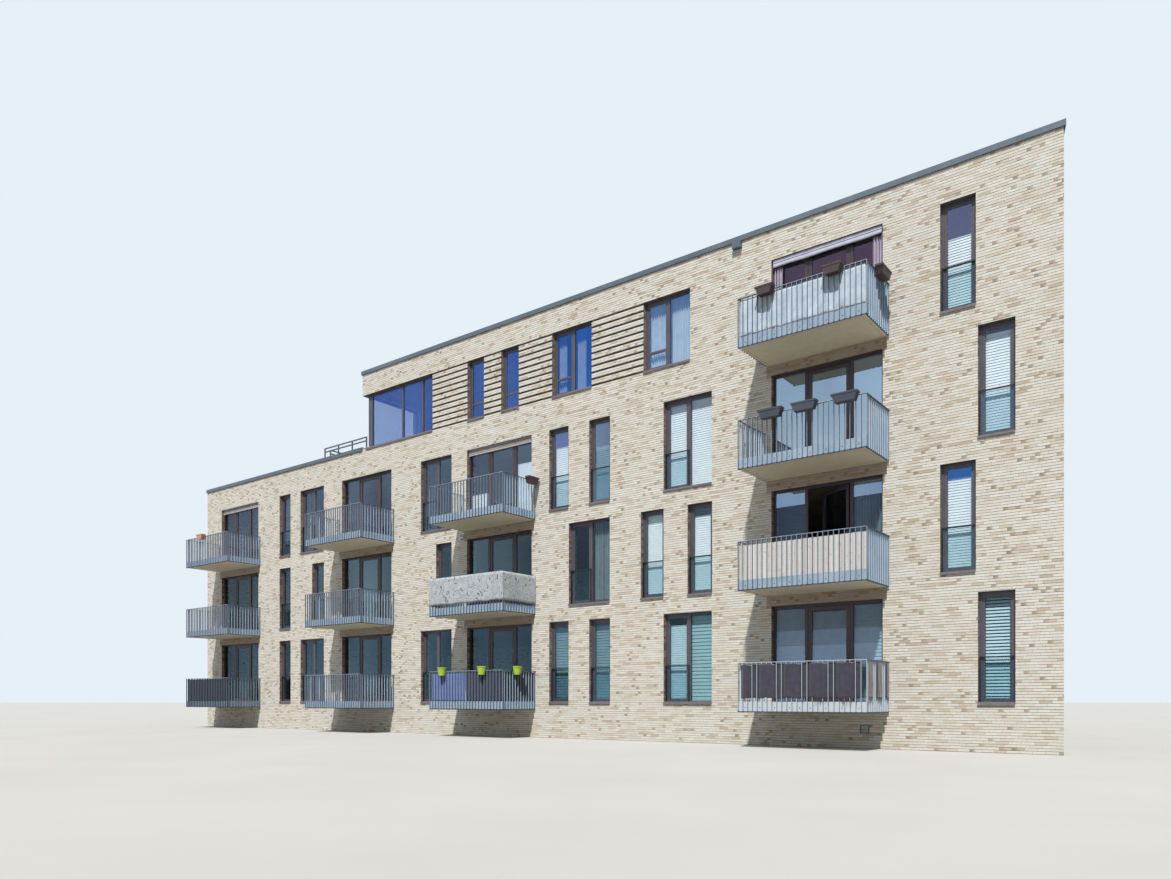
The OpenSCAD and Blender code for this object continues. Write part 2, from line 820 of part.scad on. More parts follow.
module glass_front()
    color(glass_c) placed() {
        for (s = STOREYS) for (o = front_windows(s)) window_glass(o);
        corner_glass();
        for (d = DOORS) side_glass(d);
        for (d = FIXED) closed_leaf(d) leaf_glass();
        open_leaf(OPEN) leaf_glass();
    }

module glass_rear()
    color(glass_c) placed() {
        on_rear() for (s = STOREYS) for (o = rear_windows(s)) window_glass(o);
        on_end() for (o = end_windows) window_glass(o);
    }

// Sills: a sloping plate with a nose in front of the wall
module sill(x, z, w)
    translate([x, 0, z])
        rotate([90, 0, 90]) linear_extrude(w)
            polygon([[-sill_out, -sill_nose], [-sill_out, sill_t], [reveal_d, sill_t + sill_fall],
                [reveal_d, 0], [sill_t / 2 - sill_out, 0], [sill_t / 2 - sill_out, -sill_nose]]);

module window_sills()
    color(frame_c) placed() {
        for (s = STOREYS) for (o = front_windows(s)) sill(o[0], o[1], o[2]);
        on_rear() for (s = STOREYS) for (o = rear_windows(s)) sill(o[0], o[1], o[2]);
        on_end() for (o = end_windows) sill(o[0], o[1], o[2]);
        sill(corner_x, high_z, corner_end - corner_x);
    }

// Guards on the opening light of each tall window
function guard_w(o) = o[4] == 2 ? frame_w + first_light(o) + mullion_w / 2 : o[2];

module guard_rail(o) {
    w = guard_w(o);
    top = guard_h - guard_bar;
    translate([o[0], reveal_d - guard_bar, o[1]]) union() {
        for (x = [0, w - guard_bar])
            translate([x, 0, guard_lift]) cube([guard_bar, guard_bar, guard_h - guard_lift]);
        translate([0, 0, top]) cube([w, guard_bar, guard_bar]);
    }
}

module guard_pane(o)
    translate([o[0] + guard_bar, reveal_d - (guard_bar + guard_glass_t) / 2, o[1] + guard_lift])
        cube([guard_w(o) - 2 * guard_bar, guard_glass_t, guard_h - guard_bar - guard_lift]);

module guard_rails()
    color(frame_c) placed() {
        for (s = STOREYS) for (o = tall_windows(s)) guard_rail(o);
        on_rear() for (s = STOREYS) for (o = rear_windows(s)) guard_rail(o);
        on_end() for (o = end_windows) guard_rail(o);
    }

module guard_panes()
    color(glass_c) placed() {
        for (s = STOREYS) for (o = tall_windows(s)) guard_pane(o);
        on_rear() for (s = STOREYS) for (o = rear_windows(s)) guard_pane(o);
        on_end() for (o = end_windows) guard_pane(o);
    }

// Balcony doors, d is the place and the storey

module side_frame(d) {
    for (p = [[0, leaf_x, frame_w, mullion_w], [right_light_x, door_w - right_light_x, mullion_w, frame_w]])
        translate([d[0] + p[0], reveal_d, floor_z(d[1])]) difference() {
            cube([p[1], frame_t, opening_h]);
            translate([p[2], -eps, frame_w])
                cube([p[1] - p[2] - p[3], frame_t + 2 * eps, opening_h - 2 * frame_w]);
        }
}

module side_glass(d)
    for (p = [[frame_w, left_light_w], [right_light_x + mullion_w,
            door_w - frame_w - right_light_x - mullion_w]])
        translate([d[0] + p[0], reveal_d + (frame_t - glass_t) / 2, floor_z(d[1]) + frame_w])
            cube([p[1], glass_t, opening_h - 2 * frame_w]);

module door_side_frames()
    color(frame_c) placed() for (d = DOORS) side_frame(d);

// Head and threshold between the two side lights
module door_heads()
    color(frame_c) placed()
        for (d = DOORS) for (up = [false, true])
            translate([d[0] + leaf_x, reveal_d, floor_z(d[1]) + (up ? opening_h - frame_w : 0)])
                union() {
                    cube([leaf_space_w, frame_t, frame_w]);
                    translate([leaf_space_w - leaf_gap, frame_t,
                        up ? bearing_play - leaf_gap : frame_w - eps])
                        cylinder(h = leaf_gap - bearing_play + eps, d = bearing_d, $fn = 24);
                }

// A leaf, drawn shut with its hinge line on the Z axis and its face towards -Y
module leaf_frame()
    translate([-leaf_size[0], -leaf_t, 0]) ring(0, 0, leaf_size[0], leaf_size[2], leaf_w, 0, leaf_t);

module leaf_glass()
    translate([leaf_w - leaf_size[0], -(leaf_t + glass_t) / 2, leaf_w])
        cube([leaf_size[0] - 2 * leaf_w, glass_t, leaf_size[2] - 2 * leaf_w]);

module closed_leaf(d)
    translate([d[0] + right_light_x - leaf_gap, frame_back, floor_z(d[1]) + frame_w + leaf_gap])
        children();

module open_leaf(d)
    closed_leaf(d) rotate([0, 0, -open_angle]) children();

module fixed_door_leaves()
    color(frame_c) placed() {
        for (d = FIXED) closed_leaf(d) leaf_frame();
        open_leaf(OPEN) leaf_frame();
    }

module door_leaf_left()
    color(frame_c) placed() closed_leaf(MOVING[0]) leaf_frame();

module door_leaf_middle()
    color(frame_c) placed() closed_leaf(MOVING[1]) leaf_frame();

module door_leaf_right()
    color(frame_c) placed() closed_leaf(MOVING[2]) leaf_frame();

module door_pane_left()
    color(glass_c) placed() closed_leaf(MOVING[0]) leaf_glass();

module door_pane_middle()
    color(glass_c) placed() closed_leaf(MOVING[1]) leaf_glass();

module door_pane_right()
    color(glass_c) placed() closed_leaf(MOVING[2]) leaf_glass();

// Balconies, d is the door that the balcony belongs to
edge = bar_d + plate_t;
balcony_low = -balcony_step - balcony_slab_t;

module at_balcony(d)
    translate([d[0] + (door_w - balcony_w) / 2, -balcony_d, floor_z(d[1])]) children();

module balcony_slabs()
    color(concrete_c) placed()
        for (d = DOORS) at_balcony(d)
            translate([edge, edge, balcony_low]) difference() {
                cube([slab_w, slab_d, balcony_slab_t]);
                translate([0, 0, -eps]) linear_extrude(drip_d + eps) drip_line();
            }

// Drip groove round the front and the sides of a balcony slab's underside
slab_w = balcony_w - 2 * edge;
slab_d = balcony_d - edge;

module drip_line()
    difference() {
        translate([drip_inset, drip_inset]) square([slab_w - 2 * drip_inset, slab_d]);
        translate([drip_inset + drip_w, drip_inset + drip_w])
            square([slab_w - 2 * (drip_inset + drip_w), slab_d]);
    }

// Flat bars in front of the edge plate, under a flat top rail, along X from 0 to l
module barred_panel(l, places)
    union() {
        translate([0, bar_d, balcony_low]) cube([l, plate_t, plate_up - balcony_low]);
        translate([0, 0, rail_h - rail_t]) cube([l, edge, rail_t]);
        for (x = places)
            translate([x, 0, balcony_low]) cube([bar_w, bar_d, rail_h - rail_t - balcony_low]);
    }

front_places = [for (i = [0 : front_bars - 1]) i * (balcony_w - bar_w) / (front_bars - 1)];

module railing_fronts()
    color(steel_c) placed()
        for (d = DOORS) at_balcony(d) barred_panel(balcony_w, front_places);

// Side panels run from the front panel to the wall
side_l = balcony_d - edge;
side_places = [for (i = [0 : side_bars - 1]) (i + 0.5) * side_l / side_bars - bar_w / 2];

// Puts children drawn along X, with their outside towards -Y, on a balcony's left or right side
module on_left_side()
    translate([0, balcony_d, 0]) rotate([0, 0, -90]) children();

module on_right_side()
    translate([balcony_w, edge, 0]) rotate([0, 0, 90]) children();

module railing_sides()
    color(steel_c) placed()
        for (d = DOORS) at_balcony(d) {
            on_left_side() barred_panel(side_l, side_places);
            on_right_side() barred_panel(side_l, side_places);
        }

// Screens stand on the edge plate, right behind the bars
screen_z = plate_up + screen_gap;
screen_h = rail_h - rail_t - screen_drop - screen_z;
screen_y = bar_d + screen_gap;

module front_screen(d)
    at_balcony(d)
        translate([screen_y, screen_y, screen_z])
            cube([balcony_w - 2 * screen_y, screen_t, screen_h]);

module side_screens(d) {
    l = side_l + edge - screen_y - screen_t - 2 * screen_gap;
    at_balcony(d) {
        on_left_side() translate([screen_gap, screen_y, screen_z]) cube([l, screen_t, screen_h]);
        on_right_side()
            translate([side_l - screen_gap - l, screen_y, screen_z]) cube([l, screen_t, screen_h]);
    }
}

module screen(d) {
    front_screen(d);
    side_screens(d);
}

// A screen tied outside the bars, round all three sides
module outer_panel(x, l)
    translate([x, -screen_gap - screen_t, rail_h - outer_drop - outer_h])
        cube([l, screen_t, outer_h]);

module outer_screen(d)
    at_balcony(d) {
        outer_panel(0, balcony_w);
        on_left_side() outer_panel(screen_gap, balcony_d - screen_gap);
        on_right_side() outer_panel(-edge, balcony_d - screen_gap);
    }

module translucent_screen()
    color([0.85, 0.88, 0.90]) placed() screen([door_r_x, 4]);

module pale_screen()
    color([0.82, 0.80, 0.76]) placed() screen([door_r_x, 2]);

// Fabric threaded through the bars: outside most of them, inside two out of five
function threaded_y(i) =
    i % 5 >= 5 - threaded_in ? bar_d + screen_gap : -screen_gap - screen_t;

function threaded_line(places, first, dy) = [
    for (i = [0 : len(places) - 1])
        for (x = [places[i] - screen_gap, places[i] + bar_w + screen_gap])
            [x, threaded_y(i + first) + dy]
];

function backwards(v) = [for (i = [len(v) - 1 : -1 : 0]) v[i]];

module threaded_strip(places, first)
    translate([0, 0, screen_z + threaded_lift])
        linear_extrude(screen_h - threaded_lift)
            polygon(concat(threaded_line(places, first, 0),
                backwards(threaded_line(places, first, screen_t))));

// The strip's end bars are left free, where the panels meet
module dark_fabric()
    color([0.22, 0.19, 0.23]) placed() at_balcony(MOVING[2]) {
        threaded_strip([for (i = [1 : front_bars - 2]) front_places[i]], 1);
        on_left_side() threaded_strip(side_places, 0);
        on_right_side() threaded_strip(side_places, 0);
    }

module grey_fabric()
    color([0.66, 0.68, 0.70]) placed() outer_screen([door_m_x, 2]);

module blue_screens()
    color([0.25, 0.32, 0.50]) placed() {
        screen(MOVING[1]);
        front_screen(MOVING[0]);
    }

// What hangs at the top of a doorway lies against the frame
module at_door_top(d)
    translate([d[0], reveal_d, floor_z(d[1]) + opening_h]) children();

module rolled_awning()
    color([0.66, 0.62, 0.74]) placed() at_door_top([door_r_x, 4])
        translate([guard_bar, -awning_d, -awning_h]) cube([door_w - 2 * guard_bar, awning_d, awning_h]);

// Drapes hang under the rolled awning, one at each side of the doorway
module drapes()
    color([0.66, 0.62, 0.74]) placed() at_door_top([door_r_x, 4])
        for (x = [guard_bar, door_w - guard_bar - drape_w])
            translate([x, -drape_d - screen_gap, -opening_h + sill_t + screen_gap])
                cube([drape_w, drape_d, opening_h - awning_h - sill_t - 2 * screen_gap]);

module raised_blinds()
    color(blind_c) placed()
        for (d = [[door_m_x, 3], [door_l_x, 3]]) at_door_top(d)
            translate([guard_bar, -blind_d, -blind_h])
                cube([door_w - 2 * guard_bar, blind_d, blind_h]);

// Lights of an opening behind which a blind or a curtain hangs, each as place, height of
// its lower edge, width and height, from an opening of the street front or a door's side
function window_light(o, i) =
    let (w = o[4] == 2 ? first_light(o) : o[2] - 2 * frame_w)
    [o[0] + frame_w + i * (w + mullion_w), o[1] + frame_w, w, o[3] - 2 * frame_w];
function door_light(d, i) =
    let (left = i == 0)
    [d[0] + (left ? frame_w : right_light_x + mullion_w), floor_z(d[1]) + frame_w,
        left ? left_light_w : door_w - frame_w - right_light_x - mullion_w,
        opening_h - 2 * frame_w];

// Lowered blinds: the light and the height left free at its top
double_f = [for (s = [1, 3]) tall(s, win_f_x, double_w)];
lowered = [
    for (p = [[1, win_d_x, short_bare], [1, win_e_x, short_bare], [1, win_g_x, short_bare],
            [3, win_d_x, long_bare], [3, win_e_x, long_bare], [3, win_g_x, short_bare],
            [2, win_i_x, short_bare], [2, win_j_x, middle_bare], [2, win_k_x, middle_bare],
            [4, win_k_x, long_bare]])
        [window_light(tall(p[0], p[1], narrow_w), 0), p[2]],
    for (o = double_f) [window_light(o, 0), o[1] == floor_z(1) ? middle_bare : short_bare],
    for (o = double_f) [window_light(o, 1), short_bare],
    for (i = [0, 1]) [door_light(MOVING[2], i), short_bare],
    [door_light([door_m_x, 3], 0), 2 * long_bare],
    [door_light([door_m_x, 3], 1), long_bare]
];

module lowered_blinds()
    color(blind_c) placed()
        for (b = lowered)
            translate([b[0][0] - blind_lap, frame_back + screen_gap, b[0][1]])
                cube([b[0][2] + 2 * blind_lap, lowered_t, b[0][3] - b[1]]);

// A blind on the inside of the balcony door leaf at the right turns with it
module leaf_blind()
    color(blind_c) placed() closed_leaf(MOVING[2])
        translate([leaf_w - blind_lap - leaf_size[0], screen_gap, leaf_w])
            cube([leaf_size[0] - 2 * leaf_w + 2 * blind_lap, lowered_t,
                leaf_size[2] - 2 * leaf_w - short_bare]);

// Curtains: a light, and the place and width of the curtain in it
high_double = [high(high_c_x, double_w), high(high_d_x, double_w)];
high_light_w = first_light(high_double[0]);
hung = [
    for (i = [0, 1]) [window_light(high_double[0], i), 0, curtain_w],
    for (i = [0, 1]) [window_light(high_double[1], i), 0, high_light_w],
    for (x = [0, high_light_w - curtain_w])
        [window_light(tall(2, win_h_x, double_w), 1), x, curtain_w],
    let (side = door_light(OPEN, 1)) [side, 0, side[2]]
];

module curtains()
    color([0.80, 0.84, 0.86]) placed()
        for (c = hung)
            translate([c[0][0] + c[1], frame_back + curtain_back, c[0][1]])
                cube([c[2], curtain_d, c[0][3] + frame_w - screen_gap]);

// Planter boxes hang outside the top rail by their upright backs, filled with earth
// to just below the rim
module planter(l)
    difference() {
        hull() {
            translate([0, 0, planter_h - planter_wall]) cube([l, planter_w, planter_wall]);
            translate([planter_taper, planter_taper, 0])
                cube([l - 2 * planter_taper, planter_w - planter_taper, planter_wall]);
        }
        translate([planter_wall, planter_wall, planter_h - earth_drop])
            linear_extrude(earth_drop + eps) square([l - 2 * planter_wall, planter_w - 2 * planter_wall]);
    }

// Balcony, distance from its left-hand end and length, on the front and on the right side
front_planters = [
    for (x = low_planters) [[door_r_x, 3], x, planter_l],
    for (x = high_planters) [[door_r_x, 4], x, short_planter_l],
    [[door_l_x, 3], left_planter_x, short_planter_l]
];
side_planters = [
    [[door_r_x, 4], (side_l - planter_l) / 2, planter_l],
    [[door_m_x, 3], side_l - short_planter_l - side_planter_x, short_planter_l]
];

module planter_boxes()
    color([0.22, 0.22, 0.27]) placed() {
        for (p = front_planters)
            at_balcony(p[0]) hung_planter(p[1], p[2]);
        for (p = side_planters)
            at_balcony(p[0]) on_right_side() hung_planter(p[1], p[2]);
    }

module hung_planter(x, l)
    translate([x, -planter_out, rail_h + planter_up - planter_h]) planter(l);

// Round pots hang outside the top rail by their flattened backs
pot_mid = planter_out - pot_r;

module flat_backed(gap)
    intersection() {
        translate([0, -pot_mid, 0]) children();
        translate([-pot_r, -planter_out, 0]) cube([2 * pot_r, planter_out - gap, pot_h + eps]);
    }

module hung_pot(x)
    translate([x, 0, rail_h + pot_up - pot_h])
        difference() {
            flat_backed(screen_gap) cylinder(h = pot_h, r1 = pot_foot_r, r2 = pot_r, $fn = 48);
            flat_backed(screen_gap + pot_wall) translate([0, 0, pot_h - earth_drop])
                cylinder(h = earth_drop + eps, r = pot_r - pot_wall, $fn = 48);
        }

module rail_pots()
    color([0.55, 0.72, 0.22]) placed() at_balcony(MOVING[1]) {
        for (x = front_pots) hung_pot(x);
        on_right_side() hung_pot(side_pot);
    }

// Outlet of the roof's overflow under the coping
module overflow_box()
    color(coping_c) placed()
        translate([overflow_x, -overflow_d, coping_z + coping_h - coping_t - overflow_drop - overflow_h])
            cube([overflow_w, overflow_d, overflow_h]);

// Framed vent with flat slats in front of the brick, near the ground
module vent()
    color(brick_c) placed()
        translate([vent_x, -vent_d, vent_z]) union() {
            ring(0, 0, vent_w, vent_h, vent_rim, 0, vent_d);
            clear = vent_h - 2 * vent_rim;
            for (i = [1 : vent_slats])
                translate([vent_rim, vent_d / 2, vent_rim + i * clear / (vent_slats + 1) - slat_h / 2])
                    cube([vent_w - 2 * vent_rim, vent_d / 2, slat_h]);
        }

base_slab();
base_walls_long();
base_walls_end();
party_wall();
end_wall();
front_wall_1();
front_wall_2();
front_wall_3();
front_wall_4();
door_lintels();
rear_wall_lower();
rear_wall_upper();
side_wall_upper();
low_parapets();
floor_slabs();
roof_slab();
copings_long();
copings_end();
terrace_railing();
grooved_band();
window_frames_front();
window_frames_rear();
glass_front();
glass_rear();
window_sills();
guard_rails();
guard_panes();
door_side_frames();
door_heads();
fixed_door_leaves();
door_leaf_left();
door_leaf_middle();
door_leaf_right();
door_pane_left();
door_pane_middle();
door_pane_right();
balcony_slabs();
railing_fronts();
railing_sides();
translucent_screen();
pale_screen();
dark_fabric();
grey_fabric();
blue_screens();
rolled_awning();
drapes();
raised_blinds();
lowered_blinds();
leaf_blind();
curtains();
planter_boxes();
rail_pots();
overflow_box();
vent();
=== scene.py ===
"""Looks of the apartment block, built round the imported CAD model.

Metres throughout. Places on the street front are measured from the block's left-hand end,
heights from the ground, and depths from the face of the brick into the building.
"""
import functools
import math
import operator
import random
from math import cos, dist, pi, radians, sin, tan

import bpy
import numpy as np
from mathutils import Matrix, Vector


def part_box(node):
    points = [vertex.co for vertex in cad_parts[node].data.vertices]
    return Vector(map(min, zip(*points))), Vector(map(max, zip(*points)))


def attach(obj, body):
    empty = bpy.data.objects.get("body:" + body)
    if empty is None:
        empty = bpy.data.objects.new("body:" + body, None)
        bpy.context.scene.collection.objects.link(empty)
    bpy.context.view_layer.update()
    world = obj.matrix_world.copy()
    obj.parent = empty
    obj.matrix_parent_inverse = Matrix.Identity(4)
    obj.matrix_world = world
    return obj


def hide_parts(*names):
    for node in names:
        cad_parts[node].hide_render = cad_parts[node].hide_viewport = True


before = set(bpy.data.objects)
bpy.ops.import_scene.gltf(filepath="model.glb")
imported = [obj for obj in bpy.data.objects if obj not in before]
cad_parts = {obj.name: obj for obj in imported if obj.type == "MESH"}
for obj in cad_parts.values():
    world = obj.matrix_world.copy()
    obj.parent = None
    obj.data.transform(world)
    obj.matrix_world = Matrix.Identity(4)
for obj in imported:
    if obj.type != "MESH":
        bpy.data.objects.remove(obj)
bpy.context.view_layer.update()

# Measures shared with the CAD model
LEFT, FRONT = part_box("base_walls_long")[0][:2]
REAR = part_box("base_walls_long")[1][1]
FRONT_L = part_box("base_walls_long")[1][0] - LEFT
DEPTH = REAR - FRONT
END_ANGLE = radians(75)
UPPER_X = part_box("side_wall_upper")[0][0] - LEFT
RAILING_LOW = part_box("railing_fronts")[0][2] - 0.001
STOREY_H = 2.9
BASE_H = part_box("front_wall_1")[0][2]
OPENING_H = 2.43
DOOR_W = 2.8
NARROW = 0.75
DOUBLE = 1.5
PARAPET_BRICK = 10.2
WALL_BRICK = 12.95
HIGH_H = 1.94
HIGH_Z = BASE_H + 3 * STOREY_H + OPENING_H - HIGH_H
DOORS = {"l": 1.15, "k": 9.465, "m": 16.02, "r": 26.8}
ODD = [(5.45, NARROW), (6.86, DOUBLE), (13.8, DOUBLE), (19.52, NARROW), (21.04, NARROW),
       (23.6, DOUBLE), (31.67, NARROW)]
EVEN = [(5.45, NARROW), (7.61, NARROW), (14.55, NARROW), (20.28, DOUBLE), (22.85, NARROW),
        (24.36, NARROW), (30.88, NARROW)]
HIGH_WINDOWS = [(16.04, NARROW), (17.54, NARROW), (19.63, DOUBLE), (22.94, DOUBLE), (UPPER_X - 0.01, 3.72)]
BALCONY_W = 3.13
BALCONY_D = 1.49
EDGE_Y = FRONT - BALCONY_D
RAIL_TOP = 0.97
CORNER = 0.048
BAR_W = 0.01
BAR_PITCH = (BALCONY_W - BAR_W) / 25
SIDE_PITCH = (BALCONY_D - CORNER) / 12
COURSE = 0.0625
BRICK_L = 0.25
BOND_SHIFT = 0.381966
JOINT = 0.009
HEAD_JOINT = 0.003
HEAD = HIGH_Z + HIGH_H
COURSE_Z = HEAD % COURSE
BAND_X = (UPPER_X + 3.71, 22.94)
TOP = BASE_H + 3 * STOREY_H
CANE = 0.0125
WHITE = (1.0, 1.0, 1.0)


def floor_z(s):
    return BASE_H + (s - 1) * STOREY_H


# Node material helpers

def operation(kind, swapped=False):
    """A method of a value that adds a math node; swapped puts the value second."""
    def apply(value, other=0.0):
        return value.graph.math(kind, *((other, value) if swapped else (value, other)))
    return apply


class Value:
    """One output in a node graph; arithmetic and comparisons on it add math nodes. For masks
    & means both, | means either and ~ means not."""
    __add__ = operation("ADD")
    __radd__ = operation("ADD", True)
    __sub__ = operation("SUBTRACT")
    __rsub__ = operation("SUBTRACT", True)
    __mul__ = __and__ = operation("MULTIPLY")
    __truediv__ = operation("DIVIDE")
    __gt__ = operation("GREATER_THAN")
    __lt__ = operation("LESS_THAN")
    __or__ = operation("MAXIMUM")
    __abs__ = operation("ABSOLUTE")
    floor = operation("FLOOR")
    fract = operation("FRACT")
    sin = operation("SINE")

    def __init__(self, graph, socket):
        self.graph, self.socket = graph, socket

    def __invert__(self):
        return 1.0 - self


class Graph:
    """Short calls for the nodes of one tree."""

    def __init__(self, tree, output):
        self.t = tree
        tree.nodes.clear()
        self.out = self.node(output)

    def node(self, kind, *inputs, **named):
        """A node with its first inputs in order; the other names are inputs where they are
        capitalised and settings where they aren't."""
        n = self.t.nodes.new("ShaderNode" + kind)
        for name, value in (*enumerate(inputs), *named.items()):
            if isinstance(name, str) and name.islower():
                setattr(n, name, value)
            else:
                self.put(n.inputs[name], value)
        return n

    def value(self, kind, output, *inputs, **named):
        return Value(self, self.node(kind, *inputs, **named).outputs[output])

    def put(self, socket, value):
        if isinstance(value, Value):
            self.t.links.new(value.socket, socket)
        else:
            socket.default_value = value

    def surface(self, **inputs):
        """Sets the shader's inputs, with underscores for spaces, and gives the material."""
        for name, value in inputs.items():
            self.put(self.bsdf.inputs[name.replace("_", " ")], value)
        return self.material

    def math(self, kind, *values):
        return self.value("Math", 0, *values, operation=kind)

    def coords(self):
        return self.value("TexCoord", "Object")

    def place(self):
        return self.split(self.coords())

    def normal(self):
        return self.split(self.value("NewGeometry", "True Normal"))

    def split(self, v):
        return [Value(self, o) for o in self.node("SeparateXYZ", v).outputs]

    def join(self, x, y, z):
        return self.value("CombineXYZ", 0, x, y, z)

    def noise(self, vector, scale, detail, rough):
        return self.value("TexNoise", "Fac", Vector=vector, Scale=scale, Detail=detail, Roughness=rough)

    def white(self, x, y, z):
        return self.value("TexWhiteNoise", "Value", self.join(x, y, z))

    def ramp(self, fac, stops, kind="LINEAR"):
        n = self.node("ValToRGB", fac)
        ramp = n.color_ramp
        ramp.interpolation = kind
        while len(ramp.elements) > 1:
            ramp.elements.remove(ramp.elements[-1])
        for i, (at, colour) in enumerate(stops):
            e = ramp.elements.new(at) if i else ramp.elements[0]
            e.position = at
            e.color = (*colour, 1.0)
        return Value(self, n.outputs[0])

    def tones(self, fac, *stops):
        """A ramp of (place, red, green, blue) as the screen shows them."""
        return self.ramp(fac, [(at, srgb(*tone)) for at, *tone in stops])

    def slope(self, fac, low, high, first=0.0, last=1.0):
        """first below low, last above high and even between them."""
        return self.ramp(fac, [(low, (first,) * 3), (high, (last,) * 3)])

    def mix(self, fac, a, b, kind="MIX"):
        n = self.node("Mix", fac, data_type="RGBA", blend_type=kind)
        for socket, v in zip([i for i in n.inputs if i.type == "RGBA"], (a, b)):
            self.put(socket, (*v, 1.0) if isinstance(v, tuple) else v)
        return Value(self, [o for o in n.outputs if o.type == "RGBA"][0])

    def over(self, colour, share, tone):
        """A colour with a share of a tone, written as the screen shows it, over it."""
        return self.mix(share, colour, srgb(*tone))

    def bump(self, height, distance, strength=1.0):
        return self.value("Bump", 0, Strength=strength, Distance=distance, Height=height)

    def blend(self, share, under, over):
        """Shows the shader over in place of the shader under by a share."""
        n = self.node("MixShader", share)
        self.t.links.new(under.outputs[0], n.inputs[1])
        self.t.links.new(over.outputs[0], n.inputs[2])
        self.t.links.new(n.outputs[0], self.out.inputs[0])


def new_material(name):
    m = bpy.data.materials.new(name)
    m.use_nodes = True
    g = Graph(m.node_tree, "OutputMaterial")
    g.material, g.bsdf = m, g.node("BsdfPrincipled")
    g.t.links.new(g.bsdf.outputs[0], g.out.inputs[0])
    return g


def srgb(*tone):
    """A colour written as the screen shows it, made linear."""
    return tuple(c / 12.92 if c <= 0.04045 else ((c + 0.055) / 1.055) ** 2.4 for c in tone)


def between(v, low, high):
    return (v > low) & (v < high)


def any_of(masks):
    return functools.reduce(operator.or_, masks)


def brick_look():
    g = new_material("brickwork")
    x, y, z = g.place()
    nx, _, nz = g.normal()
    side = abs(nx) > 0.7
    slant = between(nx, 0.9, 0.98)
    along = slant * (1 / sin(END_ANGLE) - 1) + 1.0
    u_front = x - LEFT
    u = side * ((y - FRONT) * along) + ~side * u_front
    v = (z - COURSE_Z) / COURSE
    row = v.floor()
    w = u / BRICK_L - (row * BOND_SHIFT).fract()
    col = w.floor()
    tone = g.white(col, row, side)
    tone2 = g.white(row, col, side + 5.0)
    fine = g.noise(g.join(u, z, y), 60.0, 4.0, 0.65)
    speck = g.noise(g.join(u * 0.35, z, y), 95.0, 2.0, 0.5)
    broad = g.noise(g.coords(), 0.55, 2.0, 0.5)
    colour = g.tones(tone, (0.0, 0.872, 0.876, 0.866), (0.3, 0.826, 0.824, 0.804),
                     (0.55, 0.862, 0.86, 0.842), (0.78, 0.808, 0.792, 0.752),
                     (0.93, 0.76, 0.724, 0.664), (1.0, 0.672, 0.61, 0.54))
    patch = g.slope(g.noise(g.join(u, z * 2.0, side), 2.4, 3.0, 0.65), 0.5, 0.72)
    colour = g.over(colour, patch * 0.55, (0.762, 0.706, 0.622))
    colour = g.over(colour, (speck > 0.64) * 0.35, (0.68, 0.61, 0.52))
    ju = w.fract()
    burnt = g.white(col + 31.0, row, side + 9.0) > 0.9
    end = g.slope(fine * 0.3 + ju, 0.42, 0.68, 1.0, 0.0) & burnt
    char = g.tones(tone2, (0.0, 0.4, 0.33, 0.275), (0.5, 0.57, 0.495, 0.42), (1.0, 0.68, 0.6, 0.51))
    colour = g.mix(end * 0.9, colour, char)
    colour = g.over(colour, fine * 0.3, (0.93, 0.92, 0.885))
    colour = g.over(colour, broad * 0.2, (0.76, 0.725, 0.65))
    # Painted shade: the brick over the balcony doors, between the door heads and the balcony slabs above, is
    # painted darker and browner
    tops = {c: TOP if c == "r" else TOP - STOREY_H for c in DOORS}
    over_door = any_of([between(u_front, d - 0.13, d + DOOR_W + 0.1) & (z < tops[c])
                        for c, d in DOORS.items()])
    above = ((z - BASE_H) / STOREY_H).fract() * STOREY_H > OPENING_H - 0.06
    painted_lintel_shade = above & over_door & (y < FRONT + 0.15) & (z > BASE_H)
    colour = g.over(colour, painted_lintel_shade * 0.55, (0.52, 0.4, 0.29))
    # Joints, on the upright faces only
    in_v = abs(v.fract() - 0.5) < 0.5 - JOINT / 2 / COURSE
    in_u = abs(ju - 0.5) < 0.5 - HEAD_JOINT / 2 / BRICK_L
    on_brick = (in_v & in_u) | ~(abs(nz) < 0.5)
    mortar = g.mix(fine, srgb(0.44, 0.415, 0.38), srgb(0.63, 0.61, 0.575))
    colour = g.mix(on_brick, mortar, colour)
    # Painted shade in the grooves of the band and on the brick of the openings
    in_band = between(z, HIGH_Z - 0.03, HEAD + 0.03) & (u_front < BAND_X[1])
    # Painted shade: the backs of the band's grooves are painted dark brown
    sunk = between(y, FRONT + 0.008, FRONT + 0.04) & ~side
    colour = g.over(colour, (sunk & in_band) * 0.9, (0.235, 0.18, 0.165))
    # Painted shade: the reveals are painted dark brown, in a tone that changes course by course, and the
    # faces turned down under the heads darker still
    returned = between(y, FRONT + 0.004, FRONT + 0.4)
    outer = (abs(u_front - UPPER_X) < 0.05) | slant | (u_front < 0.05)
    jamb = returned & side & ~outer
    tooth = g.white(row, 4.0, (x / 0.4).floor())
    shade = g.tones(tooth, (0.0, 0.2, 0.15, 0.145), (0.45, 0.43, 0.355, 0.315), (1.0, 0.56, 0.49, 0.44))
    colour = g.mix(jamb * 0.85, colour, shade)
    colour = g.over(colour, (returned & (nz < -0.5)) * 0.85, (0.205, 0.15, 0.165))
    height = on_brick * 0.8 + (fine * 0.5 + tone2 * 0.25)
    return g.surface(Base_Color=colour, Roughness=tone2 * 0.12 + 0.8, Normal=g.bump(height, 0.003, 0.8))


